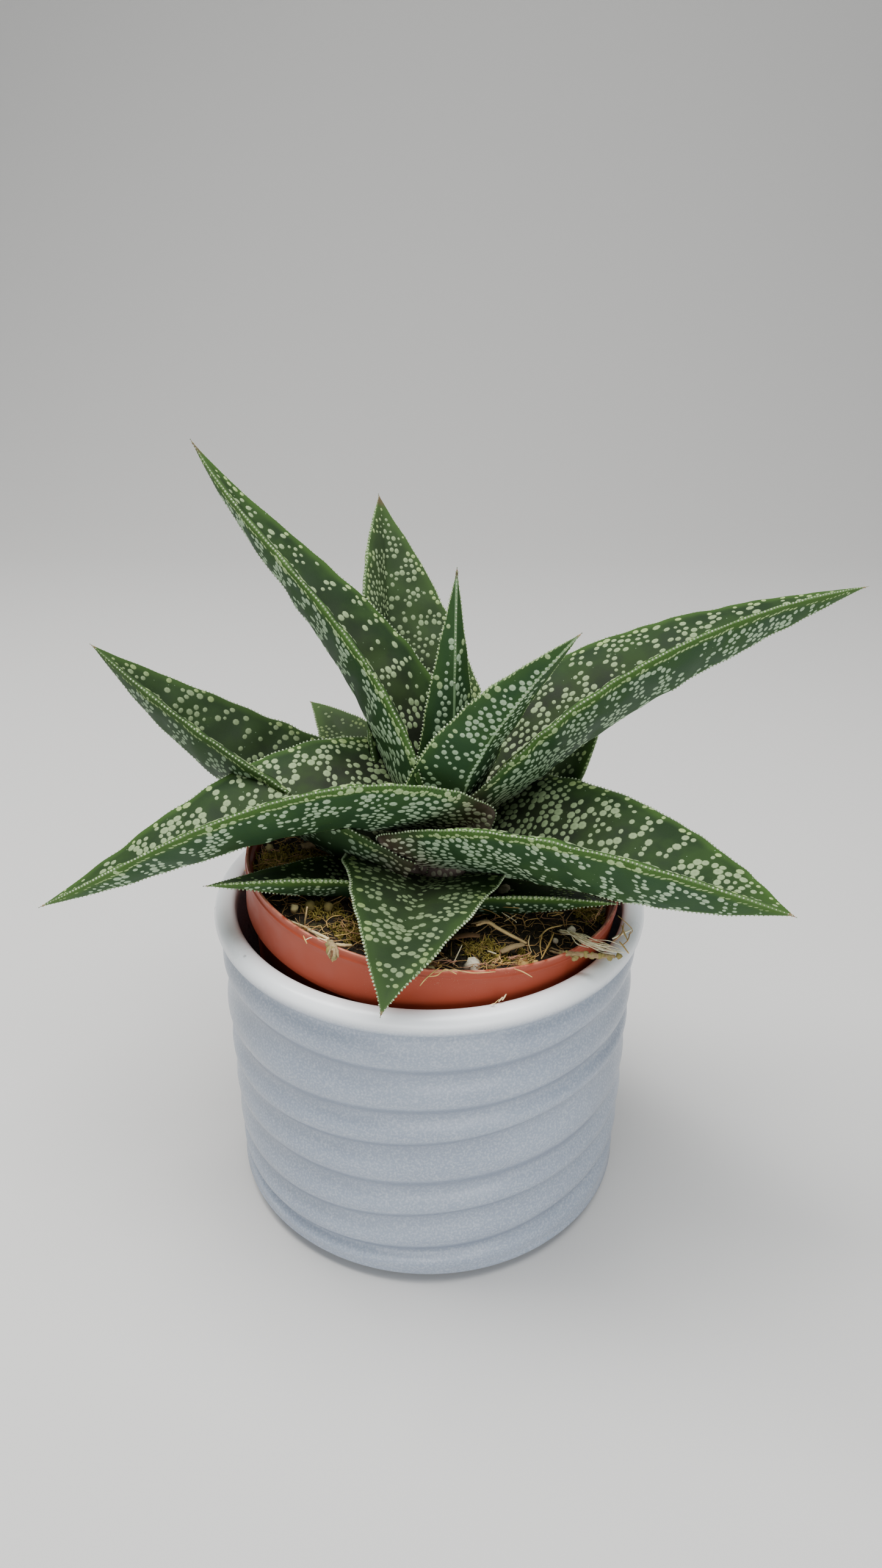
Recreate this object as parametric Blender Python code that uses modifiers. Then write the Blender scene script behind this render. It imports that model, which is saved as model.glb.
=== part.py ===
"""Potted gasteraloe: a rosette of toothed, spotted leaves in a nursery pot that leans in a glazed pot.

Metres, +Z up. The origin is on the glazed pot's axis at table level, and the front of the pot faces -Y.
"""

import math

import bmesh
import bpy
import numpy as np
from mathutils import Matrix, Vector, noise

MM = 0.001
GAP = 0.3 * MM

# Glazed outer pot
POT_HEIGHT = 111 * MM
POT_RIM_RADIUS = 72 * MM
POT_OPENING_RADIUS = 64.7 * MM
POT_LIP_DEPTH = 10 * MM
POT_WALL_TOP_RADIUS = 70.6 * MM
POT_WALL_FOOT_RADIUS = 68.4 * MM
POT_FOOT_RADIUS = 62 * MM
POT_FOOT_ROUNDING = 5 * MM
POT_INNER_FLOOR_RADIUS = 58 * MM
POT_FLOOR = 6 * MM
POT_FLOOR_ROUNDING = 6 * MM
POT_INNER_TAPER = 2 * MM
POT_UNDER_LIP = 2.5 * MM
POT_STEPS = 40

# Ripples round the glazed pot: mean height of each groove and how far it tilts
GROOVE_HEIGHTS = [h * MM for h in (18, 31.5, 45.5, 61, 75.5, 89)]
GROOVE_TILTS = [t * MM for t in (3.5, 5.5, 5, 6, 5, 2.5)]
GROOVE_HIGH_SIDE = math.radians(-10)
GROOVE_WAVE = 0.9 * MM
GROOVE_DEPTH = 1.7 * MM
RIPPLE_CREST = 0.4
RIPPLE_SHARES = (0.0, 0.2, 0.5, 0.85)

# Nursery pot
INNER_HEIGHT = 112 * MM
INNER_RIM_RADIUS = 62 * MM
INNER_BASE_RADIUS = 46 * MM
INNER_WALL = 1.2 * MM
INNER_COLLAR = 17 * MM
INNER_STEP = 1.4 * MM
INNER_LEDGE = 4.5 * MM
INNER_COLLAR_TAPER = 1 * MM
INNER_BASE_BEVEL = 1.4 * MM
INNER_TILT = math.radians(6)
INNER_LEAN = 2.2 * MM
INNER_LEAN_SIDE = math.radians(-50)
INNER_STEPS = 36

# Soil
SOIL_BELOW_RIM = 6 * MM
SOIL_PIT_RADIUS = 27 * MM
SOIL_PIT_DEPTH = 4.5 * MM
SOIL_BUMPS = 1.6 * MM
SOIL_BUMP_PITCH = 14 * MM
SOIL_RINGS = (0.18, 0.38, 0.58, 0.78, 1.0)
SOIL_STEPS = 36

# Stem, which stands in a plain hole in the soil
STEM_X = 2 * MM
STEM_Y = 1 * MM
STEM_RADIUS = 8 * MM
STEM_BOTTOM = 72 * MM
STEM_SHOULDER = 116 * MM
STEM_TOP = 139 * MM
STEM_TOP_RADIUS = 2.5 * MM
STEM_TAPER = 12 * MM
STEM_STEPS = 20

# Leaf section: where its upper and outer faces fold, as shares of the half width and of the depth
UPPER_FOLD = (0.55, 0.28)
OUTER_FOLD = (0.6, 0.52)
ROUND_UPPER_FOLD = (0.65, 0.70)
ROUND_OUTER_FOLD = (0.7, 0.71)
SHALLOWEST_CHANNEL = 0.12
THINNEST = 1 * MM

# Leaf base: the blade widens over CLASP_REACH and is rounder over ROUND_REACH, as shares of its length
CLASP_REACH = 0.22
ROUND_REACH = 0.3
BASE_ROUNDNESS = 0.35
SHEATH_ROUNDNESS = 0.5
SHEATH_CHANNEL = 0.3
SHEATH_BEND = math.radians(22)

# Leaf teeth and tip
TOOTH_HEIGHT = 0.7 * MM
TOOTH_HALF_WIDTH = 0.8 * MM
TOOTH_PITCH = 17 * MM
TIP_START = 0.975


def clear_scene():
    for obj in list(bpy.data.objects):
        bpy.data.objects.remove(obj, do_unlink=True)


def new_collection(name):
    made = bpy.data.collections.new(name)
    bpy.context.scene.collection.children.link(made)
    return made


def make_material(name, colour, roughness):
    made = bpy.data.materials.new(name)
    made.use_nodes = True
    shader = made.node_tree.nodes["Principled BSDF"]
    shader.inputs["Base Color"].default_value = (*colour, 1.0)
    shader.inputs["Roughness"].default_value = roughness
    shader.inputs["Metallic"].default_value = 0.0
    return made


def make_object(name, mesh, group, material=None):
    obj = bpy.data.objects.new(name, mesh)
    group.objects.link(obj)
    if material:
        mesh.materials.clear()
        mesh.materials.append(material)
    return obj


def evaluated_mesh(obj):
    """The object's mesh with its modifiers applied."""
    graph = bpy.context.evaluated_depsgraph_get()
    return bpy.data.meshes.new_from_object(obj.evaluated_get(graph))


def settle(obj):
    """Applies the object's modifiers."""
    mesh = evaluated_mesh(obj)
    obj.modifiers.clear()
    old = obj.data
    obj.data = mesh
    bpy.data.meshes.remove(old)


def turn(name, profile, steps, group, material=None):
    """A solid turned round Z from (radius, height) points that run down its outer side."""
    mesh = bpy.data.meshes.new(name)
    points = [(radius, 0.0, height) for radius, height in profile]
    edges = [(i, i + 1) for i in range(len(points) - 1)]
    mesh.from_pydata(points, edges, [])
    obj = make_object(name, mesh, group, material)
    screw = obj.modifiers.new("turn", "SCREW")
    screw.steps = steps
    screw.render_steps = steps
    screw.use_merge_vertices = True
    screw.merge_threshold = 0.00001
    settle(obj)
    obj.data.shade_smooth()
    obj.data.set_sharp_from_angle(angle=math.radians(40))
    return obj


def arc(centre, radius, start, end, count):
    """Points round a quarter or less, angles in degrees in the profile's plane."""
    angles = [math.radians(start + (end - start) * i / count) for i in range(count + 1)]
    return [(centre[0] + radius * math.cos(a), centre[1] + radius * math.sin(a)) for a in angles]


def wall_radius(height):
    """Radius of the glazed pot's ripple crests at a height."""
    share = height / (POT_HEIGHT - POT_LIP_DEPTH)
    return POT_WALL_FOOT_RADIUS + (POT_WALL_TOP_RADIUS - POT_WALL_FOOT_RADIUS) * share


def ripple_profile():
    """Outer wall from under the lip down to the foot rounding, sunk in at each groove."""
    knots = [POT_FOOT_ROUNDING] + GROOVE_HEIGHTS + [POT_HEIGHT - POT_LIP_DEPTH]
    points = []
    for low, high in zip(knots[:-1], knots[1:]):
        for share in RIPPLE_SHARES:
            height = low + (high - low) * share
            bulge = math.sin(math.pi * share ** (math.log(0.5) / math.log(RIPPLE_CREST)))
            depth = GROOVE_DEPTH * (1 - bulge ** 0.8)
            if low == knots[0]:
                depth *= share
            points.append((wall_radius(height) - depth, height))
    return points[::-1]


def groove_shift(height, angle):
    """How far the ripples lift a point of the outer wall."""
    knots = [POT_FOOT_ROUNDING] + GROOVE_HEIGHTS + [POT_HEIGHT - POT_LIP_DEPTH]
    lifts = [0.0]
    for i, tilt in enumerate(GROOVE_TILTS):
        wave = GROOVE_WAVE * math.cos(2 * angle + 2.4 * i)
        lifts.append(tilt * math.cos(angle - GROOVE_HIGH_SIDE) + wave)
    lifts.append(0.0)
    return float(np.interp(height, knots, lifts))


def outer_pot(group):
    lip = (POT_RIM_RADIUS - POT_OPENING_RADIUS) / 2
    lip_centre = (POT_OPENING_RADIUS + lip, POT_HEIGHT - lip)
    corner_centre = (POT_INNER_FLOOR_RADIUS - POT_FLOOR_ROUNDING, POT_FLOOR + POT_FLOOR_ROUNDING)
    foot_corner = (POT_FOOT_RADIUS + 0.6 * POT_FOOT_ROUNDING, 0.24 * POT_FOOT_ROUNDING)
    profile = [(0.0, POT_FLOOR)]
    profile += arc(corner_centre, POT_FLOOR_ROUNDING, -90, 0, 2)
    profile += [(POT_OPENING_RADIUS - POT_INNER_TAPER, POT_HEIGHT * 0.55)]
    profile += arc(lip_centre, lip, 180, 0, 8)
    profile += [(POT_RIM_RADIUS - 0.1 * MM, POT_HEIGHT - POT_LIP_DEPTH + POT_UNDER_LIP)]
    profile += ripple_profile()
    profile += [foot_corner, (POT_FOOT_RADIUS, 0.0), (0.0, 0.0)]
    glaze = make_material("glaze", (0.62, 0.67, 0.74), 0.35)
    pot = turn("outer_pot", profile, POT_STEPS, group, glaze)
    for vertex in pot.data.vertices:
        radius = math.hypot(vertex.co.x, vertex.co.y)
        if radius > POT_OPENING_RADIUS + 1 * MM:
            angle = math.atan2(vertex.co.y, vertex.co.x)
            vertex.co.z += groove_shift(vertex.co.z, angle)
    return pot


def inner_frame():
    """Place of the nursery pot, which stands on one edge of its base and leans on the glazed lip."""
    lean_x = INNER_LEAN * math.cos(INNER_LEAN_SIDE)
    lean_y = INNER_LEAN * math.sin(INNER_LEAN_SIDE)
    base_x = lean_x - POT_HEIGHT * math.sin(INNER_TILT)
    base_z = POT_FLOOR + GAP + INNER_BASE_RADIUS * math.sin(INNER_TILT)
    return Matrix.Translation((base_x, lean_y, base_z)) @ Matrix.Rotation(INNER_TILT, 4, "Y")


def inner_body_radius(height):
    """Outer radius of the nursery pot below its collar."""
    top = INNER_RIM_RADIUS - INNER_STEP
    return INNER_BASE_RADIUS + (top - INNER_BASE_RADIUS) * height / INNER_HEIGHT


def inner_pot(group):
    collar = INNER_HEIGHT - INNER_COLLAR
    ledge = INNER_HEIGHT - INNER_LEDGE
    wall = INNER_WALL
    rim = INNER_RIM_RADIUS
    skirt = rim - INNER_COLLAR_TAPER
    profile = [
        (0.0, wall),
        (INNER_BASE_RADIUS - wall, wall),
        (inner_body_radius(collar) - wall, collar),
        (rim - 2.1 * wall, ledge),
        (rim - 1.1 * wall, ledge + 0.7 * wall),
        (rim - wall, INNER_HEIGHT - 0.25 * wall),
        (rim - 0.5 * wall, INNER_HEIGHT),
        (rim, INNER_HEIGHT - 0.35 * wall),
        (skirt + 0.4 * wall, collar + 0.5 * wall),
        (skirt, collar),
        (inner_body_radius(collar), collar - 0.5 * wall),
        (INNER_BASE_RADIUS + 0.4 * INNER_BASE_BEVEL, INNER_BASE_BEVEL),
        (INNER_BASE_RADIUS - 0.6 * INNER_BASE_BEVEL, 0.0),
        (0.0, 0.0),
    ]
    plastic = make_material("terracotta plastic", (0.56, 0.16, 0.08), 0.5)
    pot = turn("inner_pot", profile, INNER_STEPS, group, plastic)
    pot.matrix_world = inner_frame()
    return pot


def soil_body(group):
    """Peat that fills the nursery pot, with a bumpy top and a shallow pit round the crown."""
    surface = INNER_HEIGHT - SOIL_BELOW_RIM
    edge = inner_body_radius(surface) - INNER_WALL - GAP
    collar = INNER_HEIGHT - INNER_COLLAR
    pit = surface - SOIL_PIT_DEPTH
    profile = [(0.0, pit), (0.55 * SOIL_PIT_RADIUS, pit), (SOIL_PIT_RADIUS, pit)]
    for share in SOIL_RINGS:
        profile.append((SOIL_PIT_RADIUS + (edge - SOIL_PIT_RADIUS) * share, surface))
    profile += [
        (inner_body_radius(collar) - INNER_WALL - GAP, collar - 1 * MM),
        (INNER_BASE_RADIUS - INNER_WALL - GAP, INNER_WALL + GAP),
        (0.0, INNER_WALL + GAP),
    ]
    peat = make_material("peat", (0.05, 0.035, 0.022), 0.95)
    soil = turn("soil", profile, SOIL_STEPS, group, peat)
    for vertex in soil.data.vertices:
        radius = math.hypot(vertex.co.x, vertex.co.y)
        if vertex.co.z > surface - 0.5 * MM and radius < edge - 1 * MM:
            place = Vector((vertex.co.x / SOIL_BUMP_PITCH, vertex.co.y / SOIL_BUMP_PITCH, 3.0))
            vertex.co.z += SOIL_BUMPS * noise.noise(place)
    soil.matrix_world = inner_frame()
    return soil


def stem_solid(name, grow, group, material=None):
    """The stem, or with grow its hole: the same solid, larger all round."""
    profile = [
        (0.0, STEM_TOP + grow),
        (STEM_TOP_RADIUS + grow, STEM_TOP - 1 * MM + grow),
        (STEM_RADIUS + grow, STEM_SHOULDER),
        (STEM_RADIUS + grow, STEM_BOTTOM + STEM_TAPER),
        (0.55 * STEM_RADIUS + grow, STEM_BOTTOM - grow),
        (0.0, STEM_BOTTOM - grow),
    ]
    stem = turn(name, profile, STEM_STEPS, group, material)
    stem.location = (STEM_X, STEM_Y, 0.0)
    return stem


class Leaf:
    """One leaf: how its middle line runs, how wide it is, and how its base clasps the stem.

    Degrees: turn is the line's compass angle at its base and swing the change out to the tip, rise is its
    slope at the base, middle and tip, and roll is its tilt at the base and the change out to the tip.
    Shares: fullness says how far out the blade stays wide, clasp is the base's width as a share of the
    widest part, and keel is the depth as a share of the half width.
    Millimetres: length, width (half of the widest part), flesh (thickness above the keel) and base, the
    point where the blade leaves the clasping part. sheath is that part's radius and root its lowest
    height; both are left out where the inner leaves hide the whole base.
    """

    def __init__(
        self, name, turn, swing, rise, length, width, fullness, clasp, keel, flesh, roll, base,
        sheath=None, root=None
    ):
        self.name = name
        self.turn = math.radians(turn)
        self.swing = math.radians(swing)
        self.rise = [math.radians(r) for r in rise]
        self.length = length * MM
        self.width = width * MM
        self.fullness = fullness
        self.keel = keel
        self.roll = [math.radians(r) for r in roll]
        self.base = np.array(base) * MM
        self.flesh = flesh * MM
        self.clasp = clasp
        self.sheath = sheath * MM if sheath else None
        self.root = root * MM if root else None
        self.trace()

    def direction(self, s):
        slope = (1 - s) ** 2 * self.rise[0] + 2 * s * (1 - s) * self.rise[1] + s * s * self.rise[2]
        angle = self.turn + self.swing * s
        flat = math.cos(slope)
        return np.array((flat * math.cos(angle), flat * math.sin(angle), math.sin(slope)))

    def trace(self):
        """Adds up the middle line in short steps from its base."""
        count = 80
        self.line = [self.base]
        for i in range(count):
            middle = self.direction((i + 0.5) / count)
            self.line.append(self.line[-1] + middle * self.length / count)
        self.line = np.array(self.line)

    def point(self, s):
        shares = np.linspace(0, 1, len(self.line))
        return np.array([np.interp(s, shares, self.line[:, axis]) for axis in range(3)])

    def half_width(self, s):
        start = min(max(s / CLASP_REACH, 0), 1)
        spread = self.clasp + (1 - self.clasp) * start * (2 - start)
        return self.width * spread * (1 - max(s, 0) ** self.fullness)

    def blade_station(self, s, grow, tooth):
        along = self.direction(s)
        angle = self.turn + self.swing * s
        roll = self.roll[0] + self.roll[1] * s
        half = max(self.half_width(s), 0.6 * THINNEST)
        keel = max(self.keel * half, THINNEST)
        flesh = self.flesh * (half / self.width) ** 0.7
        channel = max(keel - flesh, SHALLOWEST_CHANNEL * keel) * (1 - s ** 6)
        roundness = BASE_ROUNDNESS * max(1 - s / ROUND_REACH, 0)
        axes = self.section_axes(along, angle, roll)
        return self.ring(self.point(s), axes, (half, keel, channel, roundness), grow, tooth)

    def root_station(self, grow):
        """The section at the foot of the clasping base, a half ring round the stem."""
        slope = min(self.rise[0] + SHEATH_BEND, math.radians(90))
        flat = math.cos(slope)
        along = np.array((flat * math.cos(self.turn), flat * math.sin(self.turn), math.sin(slope)))
        place = np.array((STEM_X, STEM_Y, self.root))
        axes = self.section_axes(along, self.turn, self.roll[0])
        shape = (self.sheath, self.sheath, SHEATH_CHANNEL * self.sheath, SHEATH_ROUNDNESS)
        return self.ring(place, axes, shape, grow, 0.0)

    def section_axes(self, along, angle, roll):
        """The directions across a section, towards its right margin, and up out of its channel."""
        side = np.array((math.sin(angle), -math.cos(angle), 0.0))
        side = side - along * side.dot(along)
        side = side / np.linalg.norm(side)
        up = np.cross(side, along)
        across = math.cos(roll) * side + math.sin(roll) * up
        return across, -math.sin(roll) * side + math.cos(roll) * up

    def ring(self, place, axes, shape, grow, tooth):
        """Eight points round a section: right margin, channel, left margin, keel, and folds between."""
        half, keel, channel, roundness = shape
        across, up = axes
        upper_x = half * np.interp(roundness, (0, 1), (UPPER_FOLD[0], ROUND_UPPER_FOLD[0]))
        upper_y = -channel * np.interp(roundness, (0, 1), (UPPER_FOLD[1], ROUND_UPPER_FOLD[1]))
        outer_x = half * np.interp(roundness, (0, 1), (OUTER_FOLD[0], ROUND_OUTER_FOLD[0]))
        outer_y = -keel * np.interp(roundness, (0, 1), (OUTER_FOLD[1], ROUND_OUTER_FOLD[1]))
        section = [
            (half, 0.0),
            (upper_x, upper_y),
            (0.0, -channel),
            (-upper_x, upper_y),
            (-half, 0.0),
            (-outer_x, outer_y),
            (0.0, -keel),
            (outer_x, outer_y),
        ]
        section = grown(section, grow)
        for corner in (0, 4, 6):
            here = section[corner]
            outward = (here - section[corner - 1]).normalized() + (here - section[corner + 1]).normalized()
            section[corner] = here + outward.normalized() * tooth
        return [place + x * across + y * up for x, y in section]


def grown(section, distance):
    """The section with each side moved out by a distance."""
    corners = [Vector(corner) for corner in section]
    moved = []
    for i, here in enumerate(corners):
        before = here - corners[i - 1]
        after = corners[(i + 1) % len(corners)] - here
        one = Vector((before.y, -before.x)).normalized()
        two = Vector((after.y, -after.x)).normalized()
        moved.append(here + (one + two) / max(1 + one.dot(two), 0.35) * distance)
    return moved


def loft(name, rings, tip, group, material=None):
    """A closed skin over the rings, capped at the first and drawn to a point past the last."""
    shape = bmesh.new()
    rows = [[shape.verts.new(p) for p in ring] for ring in rings]
    count = len(rows[0])
    for low, high in zip(rows[:-1], rows[1:]):
        for i in range(count):
            j = (i + 1) % count
            shape.faces.new((low[i], low[j], high[j]))
            shape.faces.new((low[i], high[j], high[i]))
    apex = shape.verts.new(tip)
    for i in range(count):
        shape.faces.new((rows[-1][i], rows[-1][(i + 1) % count], apex))
    shape.faces.new(rows[0][::-1])
    bmesh.ops.triangulate(shape, faces=shape.faces[:])
    bmesh.ops.recalc_face_normals(shape, faces=shape.faces[:])
    mesh = bpy.data.meshes.new(name)
    shape.to_mesh(mesh)
    shape.free()
    return make_object(name, mesh, group, material)


def leaf_solid(leaf, name, grow, group, material=None):
    """The leaf's solid, with teeth on both margins and the keel; grown, it has plain edges instead."""
    rings = []
    if leaf.sheath:
        rings.append(leaf.root_station(grow))
    rings.append(leaf.blade_station(0.0, grow, 0.0))
    teeth = max(round(leaf.length / TOOTH_PITCH), 3)
    half = TOOTH_HALF_WIDTH / leaf.length
    for i in range(teeth):
        s = (i + 0.5) / teeth * TIP_START
        for step in (-1, 0, 1):
            plain = TOOTH_HEIGHT if grow else 0.0
            tooth = plain if step else TOOTH_HEIGHT
            rings.append(leaf.blade_station(s + step * half, grow, tooth))
    rings.append(leaf.blade_station(TIP_START, grow, 0.0))
    tip = leaf.point(1.0) + leaf.direction(1.0) * 3 * grow
    return loft(name, rings, tip, group, material)


def keep_largest(obj):
    """Removes the scraps that a cut leaves behind the leaves that it passes."""
    shape = bmesh.new()
    shape.from_mesh(obj.data)
    todo = set(shape.verts)
    pieces = []
    while todo:
        queue = [todo.pop()]
        piece = set(queue)
        while queue:
            for edge in queue.pop().link_edges:
                for vertex in edge.verts:
                    if vertex in todo:
                        todo.remove(vertex)
                        piece.add(vertex)
                        queue.append(vertex)
        pieces.append(piece)
    pieces.sort(key=len)
    for piece in pieces[:-1]:
        bmesh.ops.delete(shape, geom=list(piece), context="VERTS")
    bmesh.ops.triangulate(shape, faces=shape.faces[:])
    shape.to_mesh(obj.data)
    shape.free()


def reach(obj):
    """Lowest and highest x, y and z of the object's points."""
    points = np.array([obj.matrix_world @ vertex.co for vertex in obj.data.vertices])
    return points.min(axis=0), points.max(axis=0)


def boxes_meet(one, two):
    low_one, high_one = reach(one)
    low_two, high_two = reach(two)
    return bool((low_one < high_two).all() and (low_two < high_one).all())


def as_cutter(obj):
    obj.hide_render = True
    obj.display_type = "WIRE"
    return obj


def cut(obj, cutter):
    difference = obj.modifiers.new("fit", "BOOLEAN")
    difference.operation = "DIFFERENCE"
    difference.object = cutter
    difference.solver = "EXACT"
    settle(obj)


# The rosette from its youngest leaf outwards
LEAVES = [
    Leaf(
        "leaf_bud",
        turn=85, swing=0, rise=(86, 84, 80),
        length=31, width=4, fullness=1.6, clasp=0.75,
        keel=0.7, flesh=3, roll=(0, 0),
        base=(4, 3, 140),
    ),
    Leaf(
        "leaf_centre_upright",
        turn=-69, swing=1, rise=(88, 84, 82),
        length=79, width=11, fullness=1.45, clasp=0.75,
        keel=0.7, flesh=4, roll=(2, 0),
        base=(5, 9, 141), sheath=8, root=124,
    ),
    Leaf(
        "leaf_centre_right",
        turn=-35, swing=-1, rise=(81, 45, 45),
        length=92, width=17, fullness=1.6, clasp=0.85,
        keel=0.66, flesh=6, roll=(21, 19),
        base=(1, -3, 136), sheath=11, root=120,
    ),
    Leaf(
        "leaf_upper_left",
        turn=153, swing=-6, rise=(91, 9, 44),
        length=152, width=23, fullness=1.8, clasp=0.78,
        keel=0.94, flesh=9, roll=(-13, -5),
        base=(6, 3, 139), sheath=14, root=118,
    ),
    Leaf(
        "leaf_long_right",
        turn=14, swing=-3, rise=(52, 13, 4),
        length=160, width=24.5, fullness=2.4, clasp=0.75,
        keel=1.0, flesh=9, roll=(1, 17),
        base=(2, 2, 146), sheath=15, root=118,
    ),
    Leaf(
        "leaf_back",
        turn=118, swing=-8, rise=(73, 54, 45),
        length=118, width=29, fullness=2.6, clasp=0.6,
        keel=0.82, flesh=8, roll=(-16, -16),
        base=(6, 16, 127), sheath=17, root=116,
    ),
    Leaf(
        "leaf_low_left",
        turn=203, swing=-14, rise=(41, -42, -30),
        length=145, width=27, fullness=2.25, clasp=0.84,
        keel=0.91, flesh=9, roll=(-6, -7),
        base=(9, 1, 150), sheath=19, root=118,
    ),
    Leaf(
        "leaf_low_right",
        turn=-33, swing=-3, rise=(24, -4, -17),
        length=124, width=29, fullness=3.5, clasp=0.94,
        keel=0.92, flesh=9, roll=(1, 17),
        base=(0, 2, 142), sheath=21, root=118,
    ),
    Leaf(
        "leaf_back_right",
        turn=30, swing=0, rise=(34, 40, 44),
        length=74, width=20, fullness=2.4, clasp=0.85,
        keel=0.8, flesh=7, roll=(-12, -12),
        base=(11, 8, 121),
    ),
    Leaf(
        "leaf_left",
        turn=169, swing=4, rise=(25, 24, 32),
        length=124, width=26, fullness=2.2, clasp=0.95,
        keel=1.08, flesh=9, roll=(-2, -5),
        base=(0, 1, 133),
    ),
    Leaf(
        "leaf_back_left",
        turn=122, swing=-2, rise=(38, 16, -5),
        length=84, width=19, fullness=1.6, clasp=0.75,
        keel=0.6, flesh=6, roll=(16, 0),
        base=(-6, 6, 124),
    ),
    Leaf(
        "leaf_front",
        turn=-94, swing=-8, rise=(20, 1, -22),
        length=87, width=28, fullness=1.55, clasp=0.97,
        keel=0.45, flesh=6, roll=(3, 2),
        base=(0, -3, 126),
    ),
    Leaf(
        "leaf_small_left",
        turn=210, swing=5, rise=(22, 10, 9),
        length=70, width=17, fullness=1.85, clasp=0.75,
        keel=0.66, flesh=6, roll=(-5, -16),
        base=(-8, -7, 121),
    ),
    Leaf(
        "leaf_small_right",
        turn=-21, swing=-4, rise=(13, 9, 1),
        length=53, width=14, fullness=1.8, clasp=0.75,
        keel=0.74, flesh=6, roll=(14, 8),
        base=(10, -10, 117),
    ),
]


def build():
    clear_scene()
    plant = new_collection("potted_gasteraloe")
    cutters = new_collection("cutters")
    outer_pot(plant)
    inner_pot(plant)
    soil = soil_body(plant)
    bpy.context.view_layer.update()
    stem_solid("stem", 0.0, plant, make_material("stem", (0.45, 0.47, 0.3), 0.7))
    stem_cutter = as_cutter(stem_solid("stem_fit", GAP, cutters))
    cut(soil, stem_cutter)
    leaf_colour = make_material("leaf", (0.06, 0.13, 0.06), 0.5)
    inner_leaves = []
    for leaf in LEAVES:
        blade = leaf_solid(leaf, leaf.name, 0.0, plant, leaf_colour.copy())
        cut(blade, stem_cutter)
        for inner in inner_leaves:
            if boxes_meet(blade, inner):
                cut(blade, inner)
        keep_largest(blade)
        fit = as_cutter(leaf_solid(leaf, leaf.name + "_fit", GAP, cutters))
        inner_leaves.append(fit)
        if boxes_meet(fit, soil):
            cut(soil, fit)
    keep_largest(soil)


build()
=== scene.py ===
# %% [markdown]
# # A potted gasteraloe
#
# The plant is a cross of a gasteria and an aloe: a rosette of thick, boat-shaped leaves, dark green and
# covered in pale raised spots, with a row of tiny white teeth on every margin. It grows in a
# terracotta-coloured nursery pot that leans inside a pale glazed pot with wavy ripples.
#
# The script loads the plain solids as a frame, then makes a finer piece for each of them in the same
# place. Every length below is in millimetres until it meets MM.

# %% Load the frame
import math

import bmesh
import bpy
import numpy as np
from mathutils import Matrix, Vector, noise
from mathutils.bvhtree import BVHTree


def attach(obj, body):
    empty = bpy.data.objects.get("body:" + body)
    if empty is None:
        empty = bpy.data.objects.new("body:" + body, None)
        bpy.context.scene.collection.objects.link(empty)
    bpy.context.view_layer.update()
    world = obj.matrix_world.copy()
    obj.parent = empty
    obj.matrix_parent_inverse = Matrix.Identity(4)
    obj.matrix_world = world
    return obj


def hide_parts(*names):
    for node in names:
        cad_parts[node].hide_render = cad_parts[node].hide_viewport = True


MM = 0.001

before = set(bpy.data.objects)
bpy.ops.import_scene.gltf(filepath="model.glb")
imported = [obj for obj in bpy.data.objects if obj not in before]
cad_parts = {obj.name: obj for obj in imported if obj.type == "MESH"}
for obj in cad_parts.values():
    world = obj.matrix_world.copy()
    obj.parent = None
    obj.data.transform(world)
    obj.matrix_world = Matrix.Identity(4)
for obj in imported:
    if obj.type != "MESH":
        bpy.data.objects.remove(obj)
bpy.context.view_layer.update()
print("Frame nodes:", len(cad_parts))

# %% [markdown]
# ## Camera, floor and light
#
# A camera can be placed by eye, but here its place comes from the pot: its rim and foot are circles, and
# their ellipses in the picture give the viewing height, distance and lens. The floor is a plain pale
# sheet that curves up behind the plant, as photographers use, and three large soft lamps stand in for the
# window, the ceiling and the bright front of a room.

# %% Camera
CAMERA_PLACE = (3.5 * MM, -325.2 * MM, 314.6 * MM)
CAMERA_PITCH = 26.9
CAMERA_ROLL = 0.49
PHOTO_HEIGHT = 2569
FOCAL_PIXELS = 1850
SENSOR_HEIGHT = 36
NEAREST_SEEN = 0.01

camera = bpy.data.objects.new("camera", bpy.data.cameras.new("camera"))
bpy.context.scene.collection.objects.link(camera)
camera.data.sensor_fit = "VERTICAL"
camera.data.sensor_height = SENSOR_HEIGHT
camera.data.lens = FOCAL_PIXELS / PHOTO_HEIGHT * SENSOR_HEIGHT
camera.data.clip_start = NEAREST_SEEN
look = Matrix.Rotation(math.radians(90 - CAMERA_PITCH), 4, "X")
look = look @ Matrix.Rotation(math.radians(CAMERA_ROLL), 4, "Z")
camera.matrix_world = Matrix.Translation(CAMERA_PLACE) @ look
bpy.context.scene.camera = camera
print("Lens:", round(camera.data.lens, 1), "mm")


# %% Floor
def make_object(name, mesh, *materials):
    """A new object at the origin that shows a mesh."""
    made = bpy.data.objects.new(name, mesh)
    bpy.context.scene.collection.objects.link(made)
    mesh.materials.clear()
    for material in materials:
        mesh.materials.append(material)
    return made


def add(tree, kind, inputs=None, **settings):
    """A node in a shader or geometry tree. An input takes a value or another node's output."""
    made = tree.nodes.new(kind)
    for name, value in settings.items():
        setattr(made, name, value)
    for socket, value in (inputs or {}).items():
        if isinstance(value, bpy.types.NodeSocket):
            tree.links.new(value, made.inputs[socket])
        else:
            made.inputs[socket].default_value = value
    return made


def new_material(name, roughness=0.5, **constants):
    """A material with a Principled shader. Returns it with its tree and its shader."""
    made = bpy.data.materials.new(name)
    made.use_nodes = True
    shader = made.node_tree.nodes["Principled BSDF"]
    shader.inputs["Roughness"].default_value = roughness
    for socket, value in constants.items():
        shader.inputs[socket.replace("_", " ")].default_value = value
    return made, made.node_tree, shader


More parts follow.
